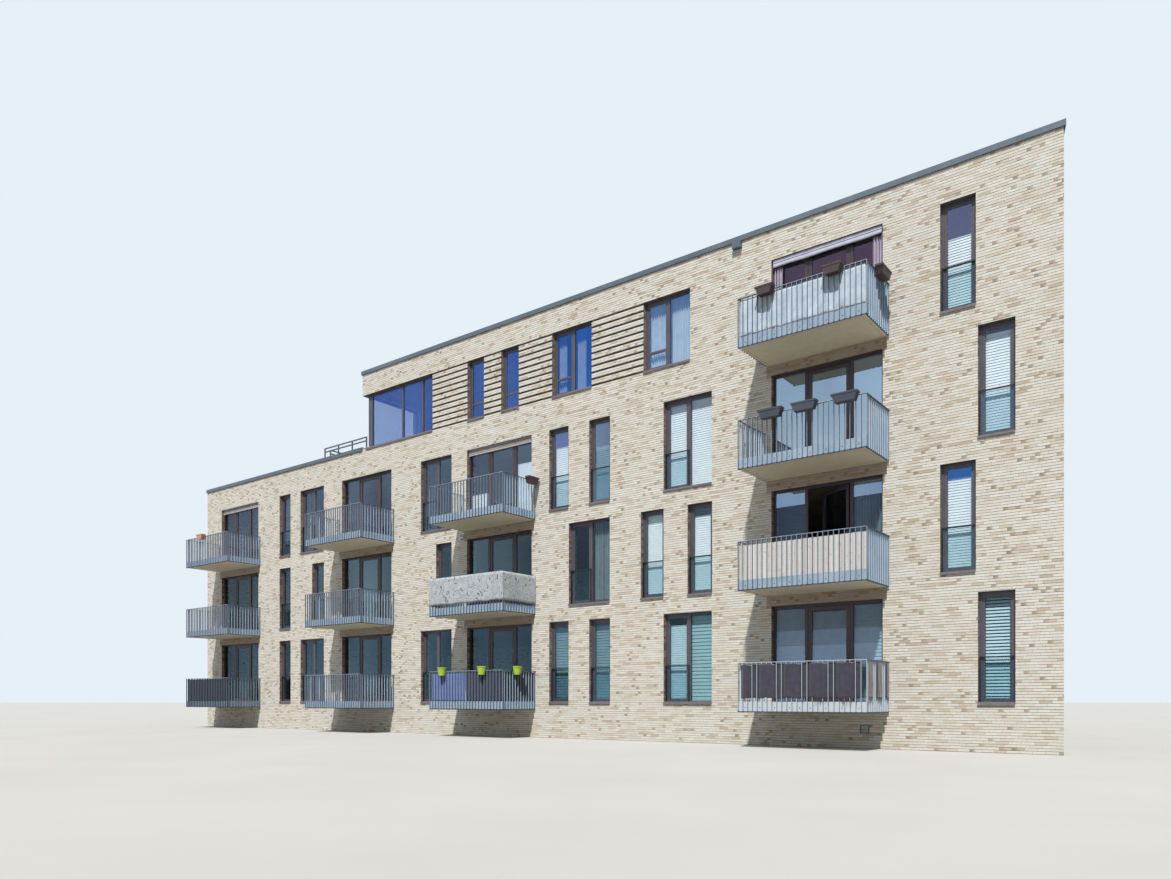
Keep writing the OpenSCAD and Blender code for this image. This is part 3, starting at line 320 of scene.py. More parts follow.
def rough_look(name, low, high, scale, rough, bump, metallic=0.0, top=None):
    """Two tones mixed by noise, with a little relief from the same noise; top is the colour that
    faces turned upwards are mixed towards."""
    g = new_material(name)
    n = g.noise(g.coords(), scale, 4.0, 0.6)
    broad = g.noise(g.coords(), scale / 14, 2.0, 0.5)
    colour = g.tones(n * 0.6 + broad * 0.4, (0.3, *low), (0.7, *high))
    if top:
        colour = g.over(colour, (g.normal()[2] > 0.5) * 0.8, top)
    return g.surface(Base_Color=colour, Roughness=n * (rough[1] - rough[0]) + rough[0], Metallic=metallic,
                     Normal=g.bump(n, bump))


def glass_look(name, tint, mirrors, low, high, places=()):
    """Coated glass: clear with a tint, and a mirror that grows towards a grazing view. mirrors are
    its colours by storey, and places have a colour and a share of their own: painted reflections."""
    g = new_material(name)
    x, y, z = g.place()
    wave = g.noise(g.coords(), 0.7, 1.0, 0.4)
    height = (z - BASE_H) / STOREY_H
    storey = height.floor()
    pane = g.noise(g.join(x, y, storey * 7.3), 0.45, 1.0, 0.5)
    mirror = g.ramp(storey * 0.25 + 0.01, [(0.25 * i, srgb(*c)) for i, c in enumerate(mirrors)], "CONSTANT")
    share = g.value("LayerWeight", "Facing", 0.5) * (high - low) + low + (pane - 0.5) * 0.3
    for x0, x1, s, z0, z1, colour, extra in places:
        inside = between(x, LEFT + x0, LEFT + x1) & between(z, floor_z(s) + z0, floor_z(s) + z1)
        share = share + inside * extra
        mirror = g.over(mirror, inside, colour)
    shade = g.ramp(pane * 0.35 + wave * 0.65, [(0.3, (0.72, 0.72, 0.74)), (0.7, WHITE)])
    # Painted reflection: the mirror is darker towards the block's left-hand end
    left_end = g.ramp((x - LEFT) * 0.1, [(0.0, (0.45, 0.47, 0.5)), (1.0, WHITE)])
    # Painted shade: the mirror is darker and bluer towards the top of each storey, under the heads
    upward = g.ramp(height.fract(), [(0.1, WHITE), (0.8, (0.7, 0.8, 0.94))])
    for part in (shade, left_end, upward):
        mirror = g.mix(1.0, mirror, part, "MULTIPLY")
    # A ray that leaves the pane is not mirrored a second time, and the sun's light is not mirrored
    once = ~(g.value("NewGeometry", "Backfacing") | g.value("LightPath", "Is Shadow Ray"))
    g.blend(g.math("MINIMUM", share, 0.95) * once, g.node("BsdfTransparent", (*tint, 1)), g.bsdf)
    return g.surface(Base_Color=mirror, Metallic=1.0, Roughness=0.02, Normal=g.bump(wave, 0.02, 0.5))


def galvanised_look(name, sides):
    """Zinc with faint crystals and clouds; the narrow faces of the bars, the undersides and the lowest edges
    are painted darker as shade, and the side panels' zinc is painted paler as light. sides says that the bars
    belong to side panels."""
    g = new_material(name)
    x, _, z = g.place()
    nx, _, nz = g.normal()
    crystal, gloss, _ = g.split(g.value("TexVoronoi", "Color", Vector=g.coords(), Scale=90.0))
    broad = g.noise(g.coords(), 2.2, 3.0, 0.55)
    f = crystal * 0.25 + broad * 0.75
    # Painted light: the side panels' zinc is painted paler than the fronts'
    paler = 0.08 if sides else 0.0
    zinc = g.tones(f, *[(at, *(c + paler for c in tone)) for at, *tone in (
        (0.2, 0.52, 0.605, 0.695), (0.5, 0.6, 0.68, 0.76), (0.8, 0.68, 0.745, 0.815))])
    along = (x - LEFT) / 30.0
    by_navy = (along < 0.16) & (z < BASE_H + 0.93)
    # Painted shade: on the side panels the strips next to each panel's outer plane are dark, and on the
    # fronts the bars' narrow sides are dark, more so towards the right-hand end
    if sides:
        planes = [LEFT + d + (DOOR_W + w) / 2 for d in DOORS.values() for w in (-BALCONY_W, BALCONY_W)]
        dark = any_of([abs(x - plane) < 0.013 for plane in planes]) & (abs(nz) < 0.5)
        bar_side = srgb(0.27, 0.315, 0.38)
    else:
        dark = abs(nx) > 0.7
        bar_side = g.tones(along, (0.1, 0.5, 0.53, 0.6), (0.55, 0.38, 0.42, 0.5),
                           (0.85, 0.18, 0.215, 0.275))
        bar_side = g.over(bar_side, by_navy * 0.9, (0.08, 0.12, 0.2))
    zinc = g.over(zinc, by_navy * 0.35, (0.12, 0.17, 0.27))
    zinc = g.mix(dark * (f * 0.2 + 0.8), zinc, bar_side)
    bright = (along > 0.8) & (z < floor_z(2) - 1.0)
    zinc = g.over(zinc, bright * (0.6 - dark * 0.4), (0.86, 0.89, 0.92))
    # Painted shade: the lowest 26 mm of each railing and the faces turned down are painted dark
    edge = ((z - RAILING_LOW) / STOREY_H).fract() < 0.026 / STOREY_H
    zinc = g.over(zinc, edge * 0.9 | (nz < -0.5), (0.17, 0.2, 0.25))
    return g.surface(Base_Color=zinc, Metallic=0.15, Roughness=gloss * 0.2 + 0.42,
                     Normal=g.bump(broad, 0.0015, 0.5))


def cloth_look(name, low, high, threads, rough=0.9, sheer=0.0, scale=6.0,
                   lines=(), line_colour=None, strokes=False, stripes=None):
    """Woven cloth in two tones; sheer is the share that lets light through, lines are
    (lowest, highest) heights of bands in line_colour, strokes are dark wavy brush lines, and stripes
    is the colour of upright stripes."""
    g = new_material(name)
    x, y, z = g.place()
    u = x + y
    weave = (u * threads).sin() * (z * threads).sin()
    blotch = g.noise(g.coords(), scale, 4.0, 0.6)
    slub = g.noise(g.join(x * 60, y * 60, z * 6), 3.0, 2.0, 0.5)
    colour = g.tones(weave * 0.07 + (slub * 0.35 + blotch * 0.65), (0.32, *low), (0.68, *high))
    for z0, z1 in lines:
        colour = g.over(colour, between(z, z0, z1), line_colour)
    # Painted shade: dark upright stripes that stand for the shade between folds
    if stripes:
        colour = g.over(colour, ((x / 0.074).fract() < 0.42) * 0.85, stripes)
    if strokes:
        drift = g.noise(g.join(u * 2.4, 0.0, z * 2.0), 1.0, 2.0, 0.5)
        broken = g.noise(g.join(u * 5.0, 3.0, z * 5.0), 1.0, 2.0, 0.6)
        stroke = (abs((drift * 38.0 + z * 18.0).sin()) < 0.26) & (broken > 0.44)
        colour = g.over(colour, stroke * 0.85, (0.3, 0.3, 0.34))
    if sheer:
        g.blend(weave * 0.04 + (1.0 - sheer), g.node("BsdfTransparent"), g.bsdf)
    return g.surface(Base_Color=colour, Roughness=rough, Sheen_Weight=0.25,
                     Normal=g.bump(weave * 0.5 + slub, 0.0006, 0.6))


def cane_look():
    """Split canes side by side, each in its own tone, with knots along them."""
    g = new_material("split_canes")
    x, y, z = g.place()
    cane = ((x - y) / CANE).floor()
    patch = g.noise(g.join(cane * 0.35, 0.0, z * 0.8), 1.0, 3.0, 0.6)
    body = g.tones(g.white(cane, 3.0, 1.0) * 0.55 + patch * 0.45, (0.12, 0.64, 0.59, 0.55),
                   (0.3, 0.81, 0.8, 0.79), (0.55, 0.88, 0.88, 0.885), (0.85, 0.92, 0.925, 0.935))
    knot = g.noise(g.join(cane * 3.7, 0.0, z * 9.0), 1.0, 1.0, 0.5)
    body = g.over(body, (knot > 0.66) * 0.5, (0.62, 0.52, 0.45))
    return g.surface(Base_Color=body, Roughness=0.6, Normal=g.bump(patch, 0.0008, 0.5))


def coating(name, low, high, scale=30.0, bump=0.0002, metallic=0.1):
    return rough_look(name, low, high, scale, (0.35, 0.5), bump, metallic)


def plastic(name, low, high):
    return rough_look(name, low, high, 25.0, (0.5, 0.65), 0.0006)


BRICK = brick_look()
CONCRETE = rough_look("soffit_concrete", (0.8, 0.765, 0.675), (0.87, 0.835, 0.755), 7.0, (0.7, 0.85),
                      0.0015, top=(0.56, 0.55, 0.53))
SLAB = rough_look("slab_concrete", (0.55, 0.54, 0.51), (0.68, 0.67, 0.63), 3.0, (0.8, 0.95), 0.002)
COPING = rough_look("coated_sheet", (0.34, 0.38, 0.43), (0.43, 0.475, 0.525), 2.0, (0.4, 0.55),
                    0.0006, 0.3)
FRAME = coating("dark_coating", (0.285, 0.275, 0.315), (0.37, 0.36, 0.4))
DOOR = coating("brown_coating", (0.215, 0.18, 0.205), (0.295, 0.255, 0.28))
RAIL = coating("black_coating", (0.1, 0.095, 0.115), (0.16, 0.15, 0.175))
SILL = coating("sill_coating", (0.42, 0.39, 0.41), (0.52, 0.49, 0.51), 12.0, 0.0003, 0.2)
STEEL = coating("bolt_steel", (0.09, 0.1, 0.12), (0.18, 0.2, 0.23), 90.0, 0.0004, 0.6)
GALV = galvanised_look("galvanised_sides", True)
GALV_FRONT = galvanised_look("galvanised_fronts", False)
R_DOOR = (DOORS["r"], DOORS["r"] + DOOR_W)
# From x to x, the storey, and heights over its floor, with a mirror colour and its extra share: painted
# reflections in the panes there
PLACES = (
    (*R_DOOR, 1, 0, 1.42, (0.84, 0.9, 1.0), 0.11), (*R_DOOR, 1, 1.42, 1.8, (0.74, 0.76, 0.86), 0.08),
    (*R_DOOR, 1, 1.8, STOREY_H, (0.5, 0.47, 0.52), 0.1), (*R_DOOR, 2, 0, 2.02, (0.62, 0.68, 0.78), 0.05),
    (*R_DOOR, 2, 2.02, STOREY_H, (0.84, 0.92, 1.0), 0.42), (*R_DOOR, 3, 0, STOREY_H, (0.88, 0.95, 1.0), 0.56),
    (*R_DOOR, 4, 0, 1.5, (0.82, 0.78, 0.94), 0.5), (*R_DOOR, 4, 1.5, OPENING_H, (0.56, 0.43, 0.52), 0.3),
    (UPPER_X, 19.4, 4, HIGH_Z - TOP, OPENING_H, (0.42, 0.57, 0.88), 0.3),
    (19.4, 21.3, 4, HIGH_Z - TOP, OPENING_H, (0.27, 0.5, 0.82), 0.55),
    (22.8, 24.6, 4, HIGH_Z - TOP, OPENING_H, (0.58, 0.74, 0.95), 0.3),
    (30.8, 31.7, 4, 1.62, OPENING_H, (0.8, 0.8, 0.94), 0.25),
    (30.8, 31.7, 2, 2.06, STOREY_H, (0.42, 0.66, 0.96), 0.3),
    (21.0, 21.8, 3, 1.55, STOREY_H, (0.84, 0.92, 1.0), 0.14),
    (19.5, 20.3, 3, 1.84, STOREY_H, (0.74, 0.8, 1.0), 0.3),
    (20.2, 21.8, 2, 0, STOREY_H, (0.52, 0.58, 0.65), 0.0),
)
# Mirror colours of the panes by storey, lowest first: painted reflections
MIRRORS = ((0.62, 0.75, 0.8), (0.78, 0.88, 0.91), (0.8, 0.88, 0.98), (0.8, 0.86, 0.95))
GLASS = glass_look("window_glass", (0.965, 0.985, 0.99), MIRRORS, 0.06, 0.5, PLACES)
# The rear panes let less light through, which keeps the rooms behind the front panes dark
GLASS_REAR = glass_look("rear_glass", (0.14, 0.17, 0.18), MIRRORS, 0.06, 0.5)
# The guard panes' mirror colours by storey are painted reflections too
GUARD = glass_look("guard_glass", (0.87, 0.925, 0.94), (
    (0.55, 0.7, 0.76), (0.66, 0.8, 0.84), (0.8, 0.9, 0.98), (0.8, 0.9, 1.0)), 0.03, 0.16)
# The film's pale band just above its lower edge is a painted highlight
FILM = cloth_look("translucent_film", (0.68, 0.76, 0.84), (0.87, 0.93, 0.98), 500.0, 0.45, 0.12, 4.5,
                  lines=((TOP + 0.082, TOP + 0.108),), line_colour=(0.94, 0.96, 0.99))
CANES = cane_look()
DARK = cloth_look("dark_cloth", (0.15, 0.14, 0.19), (0.25, 0.24, 0.31), 500.0, 0.36)
GREY = cloth_look("grey_cloth", (0.6, 0.635, 0.67), (0.74, 0.77, 0.8), 600.0, 0.8, strokes=True)
BLUE = cloth_look("blue_cloth", (0.31, 0.4, 0.62), (0.42, 0.51, 0.75), 600.0, 0.8)
NAVY = cloth_look("navy_cloth", (0.06, 0.085, 0.165), (0.12, 0.15, 0.26), 600.0, 0.8)
LILAC = cloth_look("lilac_cloth", (0.58, 0.56, 0.67), (0.71, 0.69, 0.8), 700.0)
# The drapes' dark upright stripes are painted shade between their folds
DRAPE = cloth_look("striped_cloth", (0.62, 0.59, 0.69), (0.76, 0.73, 0.82), 700.0,
                   stripes=(0.31, 0.26, 0.34))
VALANCE = cloth_look("valance_cloth", (0.72, 0.73, 0.82), (0.83, 0.84, 0.92), 700.0,
                     lines=((TOP + 2.33, TOP + 2.348), (TOP + 2.372, TOP + 2.38)),
                     line_colour=(0.3, 0.28, 0.4))
SHEER = cloth_look("sheer_cloth", (0.74, 0.8, 0.84), (0.88, 0.92, 0.94), 900.0, 0.8, 0.25)
VEIL = cloth_look("grey_green_cloth", (0.32, 0.4, 0.42), (0.44, 0.52, 0.54), 900.0, 0.85)
SLATS = {kind: rough_look(f"{kind}_slats", low, high, 5.0, (0.45, 0.6), 0.0002) for kind, low, high in (
    ("pale", (0.84, 0.88, 0.91), (0.93, 0.96, 0.98)), ("grey", (0.52, 0.64, 0.69), (0.62, 0.74, 0.79)),
    ("teal", (0.47, 0.63, 0.65), (0.56, 0.72, 0.74)), ("mid", (0.62, 0.73, 0.77), (0.72, 0.83, 0.87)),
    ("dim", (0.36, 0.48, 0.53), (0.45, 0.57, 0.62)), ("stacked", (0.76, 0.74, 0.75), (0.88, 0.86, 0.87)))}
SOIL = rough_look("potting_soil", (0.16, 0.12, 0.09), (0.3, 0.24, 0.18), 120.0, (0.9, 1.0), 0.004)
PLANTER = plastic("planter_plastic", (0.2, 0.225, 0.28), (0.3, 0.325, 0.39))
BROWN = plastic("brown_plastic", (0.22, 0.185, 0.19), (0.32, 0.28, 0.28))
PEACH = plastic("terracotta_plastic", (0.74, 0.53, 0.42), (0.84, 0.64, 0.53))
LIME = rough_look("lime_plastic", (0.62, 0.76, 0.2), (0.72, 0.85, 0.3), 25.0, (0.4, 0.55), 0.0005)

DRESS = {
    BRICK: """base_walls_long base_walls_end party_wall end_wall front_wall_1 front_wall_2 front_wall_3
              front_wall_4 door_lintels rear_wall_lower rear_wall_upper side_wall_upper low_parapets
              grooved_band""",
    SLAB: "base_slab floor_slabs roof_slab",
    CONCRETE: "balcony_slabs",
    COPING: "copings_long copings_end terrace_railing overflow_box vent",
    FRAME: "window_frames_front window_frames_rear",
    DOOR: "door_side_frames door_heads fixed_door_leaves door_leaf_left door_leaf_middle door_leaf_right",
    RAIL: "guard_rails",
    SILL: "window_sills",
    GLASS: "glass_front door_pane_left door_pane_middle door_pane_right",
    GLASS_REAR: "glass_rear",
    GUARD: "guard_panes",
    GALV: "railing_sides",
    GALV_FRONT: "railing_fronts",
}
for material, names in DRESS.items():
    for name in names.split():
        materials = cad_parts[name].data.materials
        materials.clear()
        materials.append(material)


# Mesh helpers

def add_object(name, data):
    o = bpy.data.objects.new(name, data)
    bpy.context.collection.objects.link(o)
    return o


def add_piece(name, shape, material, node=None, body="block", smooth=False):
    """A piece from its points and faces; node is the CAD node that it stands for."""
    points, faces = shape
    mesh = bpy.data.meshes.new(name)
    mesh.from_pydata([tuple(map(float, p)) for p in points], [], faces)
    mesh.validate()
    mesh.update()
    if smooth:
        mesh.polygons.foreach_set("use_smooth", [True] * len(mesh.polygons))
    mesh.materials.append(material)
    o = add_object(name, mesh)
    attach(o, body)
    if node:
        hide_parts(node)
    return o


def spot(at, along, out, u, v, z=0.0):
    """The point u along and v out from at, and z above it."""
    return at[0] + along[0] * u + out[0] * v, at[1] + along[1] * u + out[1] * v, at[2] + z


def tube(shape, rings):
    """Adds rings of equally many points, joined by quads and closed at both ends."""
    points, faces = shape
    first, n = len(points), len(rings[0])
    last = first + (len(rings) - 1) * n
    for ring in rings:
        points.extend(ring)
    for a in range(first, last, n):
        faces.extend((a + i, a + (i + 1) % n, a + n + (i + 1) % n, a + n + i) for i in range(n))
    faces.append(tuple(range(first + n - 1, first - 1, -1)))
    faces.append(tuple(range(last, last + n)))


# Bricks stand a few millimetres proud of the walls, course by course

def opening(x, width, s):
    return x, x + width, floor_z(s), floor_z(s) + OPENING_H


def front_openings():
    spots = [(x, x + w, HIGH_Z, HEAD) for x, w in HIGH_WINDOWS]
    for s, windows in ((1, ODD), (2, EVEN), (3, ODD), (4, [(30.88, NARROW)])):
        doors = [(x, DOOR_W) for column, x in DOORS.items() if s < 4 or column == "r"]
        spots += [opening(x, w, s) for x, w in windows + doors]
    return spots


def rear_openings():
    places = [(1.7 + 3.6 * i, NARROW if i % 2 else DOUBLE) for i in range(8)]
    return [opening(x, w, s) for x, w in places for s in (1, 2, 3, 4) if s < 4 or x > UPPER_X + 0.4]


def end_openings():
    return [opening(u, NARROW, s) for s in (1, 2, 3, 4) for u in (3.3, 7.6)]


def free_spans(u0, u1, z0, z1, openings):
    """What the openings leave of a strip from u0 to u1."""
    spans = []
    at = u0
    for a, b in sorted((a, b) for a, b, low, high in openings if low < z1 - 0.02 and high > z0 + 0.02):
        if a > at:
            spans.append((at, min(a, u1)))
        at = max(at, b)
    if at < u1:
        spans.append((at, u1))
    return [(a, b) for a, b in spans if b - a > 0.03]


def brick_rects(u0, u1, z0, z1, openings, skip=None):
    rects = []
    for row in range(math.floor((z0 - COURSE_Z) / COURSE), math.ceil((z1 - COURSE_Z) / COURSE)):
        low = COURSE_Z + row * COURSE + JOINT / 2
        high = low + COURSE - JOINT
        shift = row * BOND_SHIFT % 1
        if not z0 <= (low + high) / 2 < z1:
            continue
        if z1 in (PARAPET_BRICK, WALL_BRICK):
            high = min(high, z1)
        for a, b in free_spans(u0, u1, low, high, openings):
            n = math.floor(a / BRICK_L - shift)
            while (n + shift) * BRICK_L < b:
                p = max(a, (n + shift) * BRICK_L + HEAD_JOINT / 2)
                q = min(b, (n + 1 + shift) * BRICK_L - HEAD_JOINT / 2)
                if q - p > 0.02 and not (skip and skip(row, (p + q) / 2)):
                    rects.append((p, q, max(low, 0.0), high))
                n += 1
    return rects


def brick_piece(name, wall, *strips):
    """One mesh of bricks on a wall, which is its corner, its direction and its outward normal."""
    r = np.array([rect for strip in strips for rect in brick_rects(*strip)])
    n = len(r)
    rng = np.random.default_rng(len(name) * 31 + n)
    proud = 0.0026 + rng.uniform(-0.0016, 0.004, n)
    tilt = rng.uniform(-0.0007, 0.0007, (n, 4))
    uneven = rng.uniform(-0.0022, 0.0022, (n, 4))
    points = np.empty((n, 8, 3))
    for i, (side, level) in enumerate(((0, 2), (1, 2), (1, 3), (0, 3))):
        u, z = r[:, side], np.clip(r[:, level] + uneven[:, i], 0, WALL_BRICK)
        points[:, i] = np.stack(spot(*wall, u, proud + tilt[:, i], z), axis=1)
        points[:, i + 4] = np.stack(spot(*wall, u, -0.001, z), axis=1)
    quads = np.array([(0, 1, 2, 3), (4, 5, 1, 0), (5, 6, 2, 1), (6, 7, 3, 2), (7, 4, 0, 3)])
    faces = (quads + 8 * np.arange(n)[:, None, None]).reshape(-1, 4)
    add_piece(name, (points.reshape(-1, 3), faces.tolist()), BRICK)


def in_groove(row, u):
    z = COURSE_Z + (row + 0.5) * COURSE
    in_band = HIGH_Z < z < HEAD and BAND_X[0] < u < BAND_X[1]
    return in_band and round((HEAD - z) / COURSE - 0.5) % 3 == 0


def make_bricks():
    corner, opens, rear = (LEFT, FRONT, 0.0), front_openings(), rear_openings()
    front, back = (corner, (1, 0), (0, -1)), ((LEFT, REAR, 0.0), (1, 0), (0, 1))
    for s, low in ((1, 0.0), (2, floor_z(2)), (3, floor_z(3))):
        brick_piece(f"bricks_front_{s}", front, (0, FRONT_L, low, floor_z(s + 1), opens))
    brick_piece("bricks_front_4", front, (UPPER_X, FRONT_L, TOP, WALL_BRICK, opens, in_groove),
                (0, UPPER_X, TOP, PARAPET_BRICK, opens))
    rear_l = FRONT_L - DEPTH / tan(END_ANGLE)
    brick_piece("bricks_rear_1", back, (0, rear_l, 0.0, floor_z(3), rear))
    brick_piece("bricks_rear_2", back, (0, rear_l, floor_z(3), PARAPET_BRICK, rear),
                (UPPER_X, rear_l, PARAPET_BRICK, WALL_BRICK, rear))
    brick_piece("bricks_party_wall", (corner, (0, 1), (-1, 0)), (0, DEPTH, 0, PARAPET_BRICK, []))
    brick_piece("bricks_terrace_side", ((LEFT + UPPER_X, FRONT, 0.0), (0, 1), (-1, 0)),
                (0, DEPTH, floor_z(4), WALL_BRICK, [(0, 2.4, HIGH_Z, HEAD)]))
    s, c = sin(END_ANGLE), cos(END_ANGLE)
    brick_piece("bricks_end_wall", ((LEFT + FRONT_L, FRONT, 0.0), (-c, s), (s, c)),
                (0, DEPTH / s, 0, WALL_BRICK, end_openings()))


make_bricks()


# Pieces in front of and behind the openings

def ripple(s, waves, seed):
    """A smooth uneven wave between 0 and 1 along s."""
    rng = random.Random(seed)
    total = np.zeros_like(s)
    share = 0.0
    for length, part in waves:
        start = s / length + rng.random()
        total += part * np.sin(2 * pi * start + 0.8 * np.sin(s / length * 1.7 + rng.random() * 6))
        share += part
    return 0.5 + 0.5 * total / share


def cloth(name, route, heights, material, node,
          thick=0.003, *, push, rise=None, row=0.07):
    """A closed sheet along a route, which is (x, y) points and their outward normals, between two
    heights; push(s, v) moves it inwards and rise(s, v) upwards, s in metres and v from 0 to 1."""
    path, out = map(np.array, route)
    s = np.concatenate([[0], np.cumsum(np.hypot(*np.diff(path, axis=0).T))])
    height = heights[1] - heights[0]
    ss, vv = np.meshgrid(s, np.linspace(0, 1, max(4, int(height / row)) + 1), indexing="ij")
    inward = push(ss, vv)
    z = heights[0] + vv * height + (rise(ss, vv) if rise else 0)
    grid = np.stack([path[:, 0:1] - out[:, 0:1] * inward, path[:, 1:2] - out[:, 1:2] * inward, z], axis=2)
    normal = np.cross(np.gradient(grid, axis=0), np.gradient(grid, axis=1))
    normal *= thick / 2 / np.linalg.norm(normal, axis=2, keepdims=True)
    n, m = grid.shape[:2]
    k = n * m
    faces = []
    for a in (i * m + j for i in range(n - 1) for j in range(m - 1)):
        b, c, d = a + m, a + m + 1, a + 1
        faces += [(a, b, c, d), (d + k, c + k, b + k, a + k)]
    rim = [i * m for i in range(n)] + [(n - 1) * m + j for j in range(1, m)]
    rim += [i * m + m - 1 for i in range(n - 2, -1, -1)] + [j for j in range(m - 2, 0, -1)]
    for a, b in zip(rim, rim[1:] + rim[:1]):
        faces.append((b, a, a + k, b + k))
    points = np.concatenate([(grid + normal).reshape(-1, 3), (grid - normal).reshape(-1, 3)])
    o = add_piece(name, (points, faces), material, node, smooth=True)


def straight(p, q, step=0.02):
    n = max(2, int(dist(p, q) / step))
    return [(p[0] + (q[0] - p[0]) * i / n, p[1] + (q[1] - p[1]) * i / n) for i in range(n + 1)]


RAIL_BACK = 0.0403
SIDE_END = 0.006
CORNER_R = 0.035


def balcony_x(column):
    return LEFT + (DOORS[column] + (DOOR_W - BALCONY_W) / 2)


def railing_runs(column, inset, gap, cut):
    """The left side, front and right side of a railing: where each starts and ends, and its
    outward normal. The sides stop short of the front by gap, and the front is cut at its ends."""
    x0 = balcony_x(column)
    left, right, front = x0 + inset, x0 + BALCONY_W - inset, EDGE_Y + inset
    return (((left, FRONT - SIDE_END), (left, front + gap), (-1, 0)),
            ((left + cut, front), (right - cut, front), (0, -1)),
            ((right, front + gap), (right, FRONT - SIDE_END), (1, 0)))


def railing_path(column, inset=RAIL_BACK + 0.002, r=CORNER_R, rounded=True):
    """Along the sides and the front of a railing, with rounded or with tight corners."""
    pts, out = [], []
    for k, (p, q, normal) in enumerate(railing_runs(column, inset, r, r)):
        run = straight(p, q)
        if rounded and k:
            run = run[1:]
            for i in range(1, 7):
                w = (k + 1) * pi / 2 + i * pi / 12
                pts.append((p[0] - (k - 1) * r + r * cos(w), EDGE_Y + inset + r + r * sin(w)))
                out.append((cos(w), sin(w)))
        pts += run
        out += [normal] * len(run)
    return pts, out


# Lower and upper edges over the floor, of the screens behind the bars and of the one outside
SCREEN = (0.0405, 0.917)
OUTER = (0.11, 0.9595)


def hang_screens():
    deep = ((0.42, 1.0), (0.17, 0.6), (0.083, 0.3))

    def heights(s, span):
        return floor_z(s) + span[0], floor_z(s) + span[1]

    def folds(seed):
        return lambda s, v: 0.016 * ripple(s, deep, seed) * (1.1 - v)

    cloth("film_screen", railing_path("r"), heights(4, SCREEN), FILM,
          "translucent_screen",
          push=lambda s, v: 0.03 * ripple(s + 0.05 * v, deep, 3) * (1.15 - v),
          rise=lambda s, v: (1 - v) ** 3 * 0.035 * ripple(s, ((0.6, 1), (0.23, 0.5)), 9))
    cloth("grey_screen", railing_path("m", -0.0023, 0.002, False), heights(2, OUTER), GREY,
          "grey_fabric",
          push=lambda s, v: -0.012 * ripple(s, deep, 5) * np.sin(pi * np.clip(v, 0, 0.93)),
          rise=lambda s, v: (1 - v) ** 2 * 0.02 * ripple(s, ((0.8, 1), (0.3, 0.5)), 6))
    path, out = railing_path("m")
    cut = len(path) // 2
    for side, part, material in (("left", slice(cut), BLUE), ("right", slice(cut, None), NAVY)):
        cloth(f"blue_screen_{side}", (path[part], out[part]), heights(1, SCREEN), material,
              "blue_screens", push=folds(8))
    p, q, normal = railing_runs("l", RAIL_BACK + 0.002, 0, 0)[1]
    path = straight(p, q)
    cloth("navy_screen", (path, [normal] * len(path)), heights(1, SCREEN), NAVY,
          "blue_screens", push=folds(12))


def hang_canes():
    """A mat of split canes, half round, tied by three wires."""
    z0, z1 = floor_z(2) + SCREEN[0], floor_z(2) + 0.868
    cane = ((0.06, 0.0055), (0.2, 0.0012), (0.5, 0.0), (0.8, 0.0012), (0.94, 0.0055))
    wire = ((-0.0015, 0.0055), (0.0015, 0.0055), (0.0015, 0.0085), (-0.0015, 0.0085))
    shape = [], []
    rng = random.Random(4)
    for p, q, out in railing_runs("r", RAIL_BACK, 0.006, 0):
        n = int(dist(p, q) / CANE)
        run = (q[0] - p[0], q[1] - p[1])
        for i in range(n):
            top = z1 - rng.uniform(0, 0.012)
            low = z0 + rng.uniform(0, 0.003)
            tube(shape, [[spot((*p, z), run, out, (i + f) / n, -inward) for f, inward in cane]
                         for z in (low, top)])
        for z in (z0 + 0.12, (z0 + z1) / 2, z1 - 0.09):
            tube(shape, [[spot((*end, z), run, out, 0, -d, dz) for dz, d in wire] for end in (p, q)])
    add_piece("cane_mat", shape, CANES, "pale_screen")


def threaded(bars, pitch, first, at, along, out):
    """A path that runs in front of most bars and behind two out of five, its normals, and 1 for
    each point in front of the bars down to 0 behind them."""
    path, loose = [], []
    front, back = -0.0025, 0.0425
    side = [back if (i + first) % 5 >= 3 else front for i in range(bars)]
    for i in range(bars):
        for f in np.linspace(0, 1, 9)[:-1] if i < bars - 1 else [0.0]:
            here, there = side[i], side[min(i + 1, bars - 1)]
            way = min(max((f - 0.12) / 0.76, 0.0), 1.0)
            d = here + (there - here) * way * way * (3 - 2 * way)
            path.append(spot((*at, 0), along, out, i * pitch + f * pitch + BAR_W / 2, -d)[:2])
            loose.append((back - d) / (back - front))
    return path, [out] * len(path), np.array(loose)


def creases(seed, loose):
    """Slanting and sagging creases towards the lower edge; they stand off the bars where loose is 1."""
    def push(s, v):
        slant = 0.5 + 0.5 * np.sin(2 * pi * (s / 0.31 + 1.1 * v + 0.4 * np.sin(s * 5.1 + seed)))
        sag = 0.5 + 0.5 * np.sin(2 * pi * (v / 0.23 - 0.6 * np.abs(np.sin(s * 4.9 + 2.0 * seed))))
        return -loose[:, None] * (0.005 * slant ** 3 + 0.0025 * sag) * (1 - 0.7 * v)
    return push


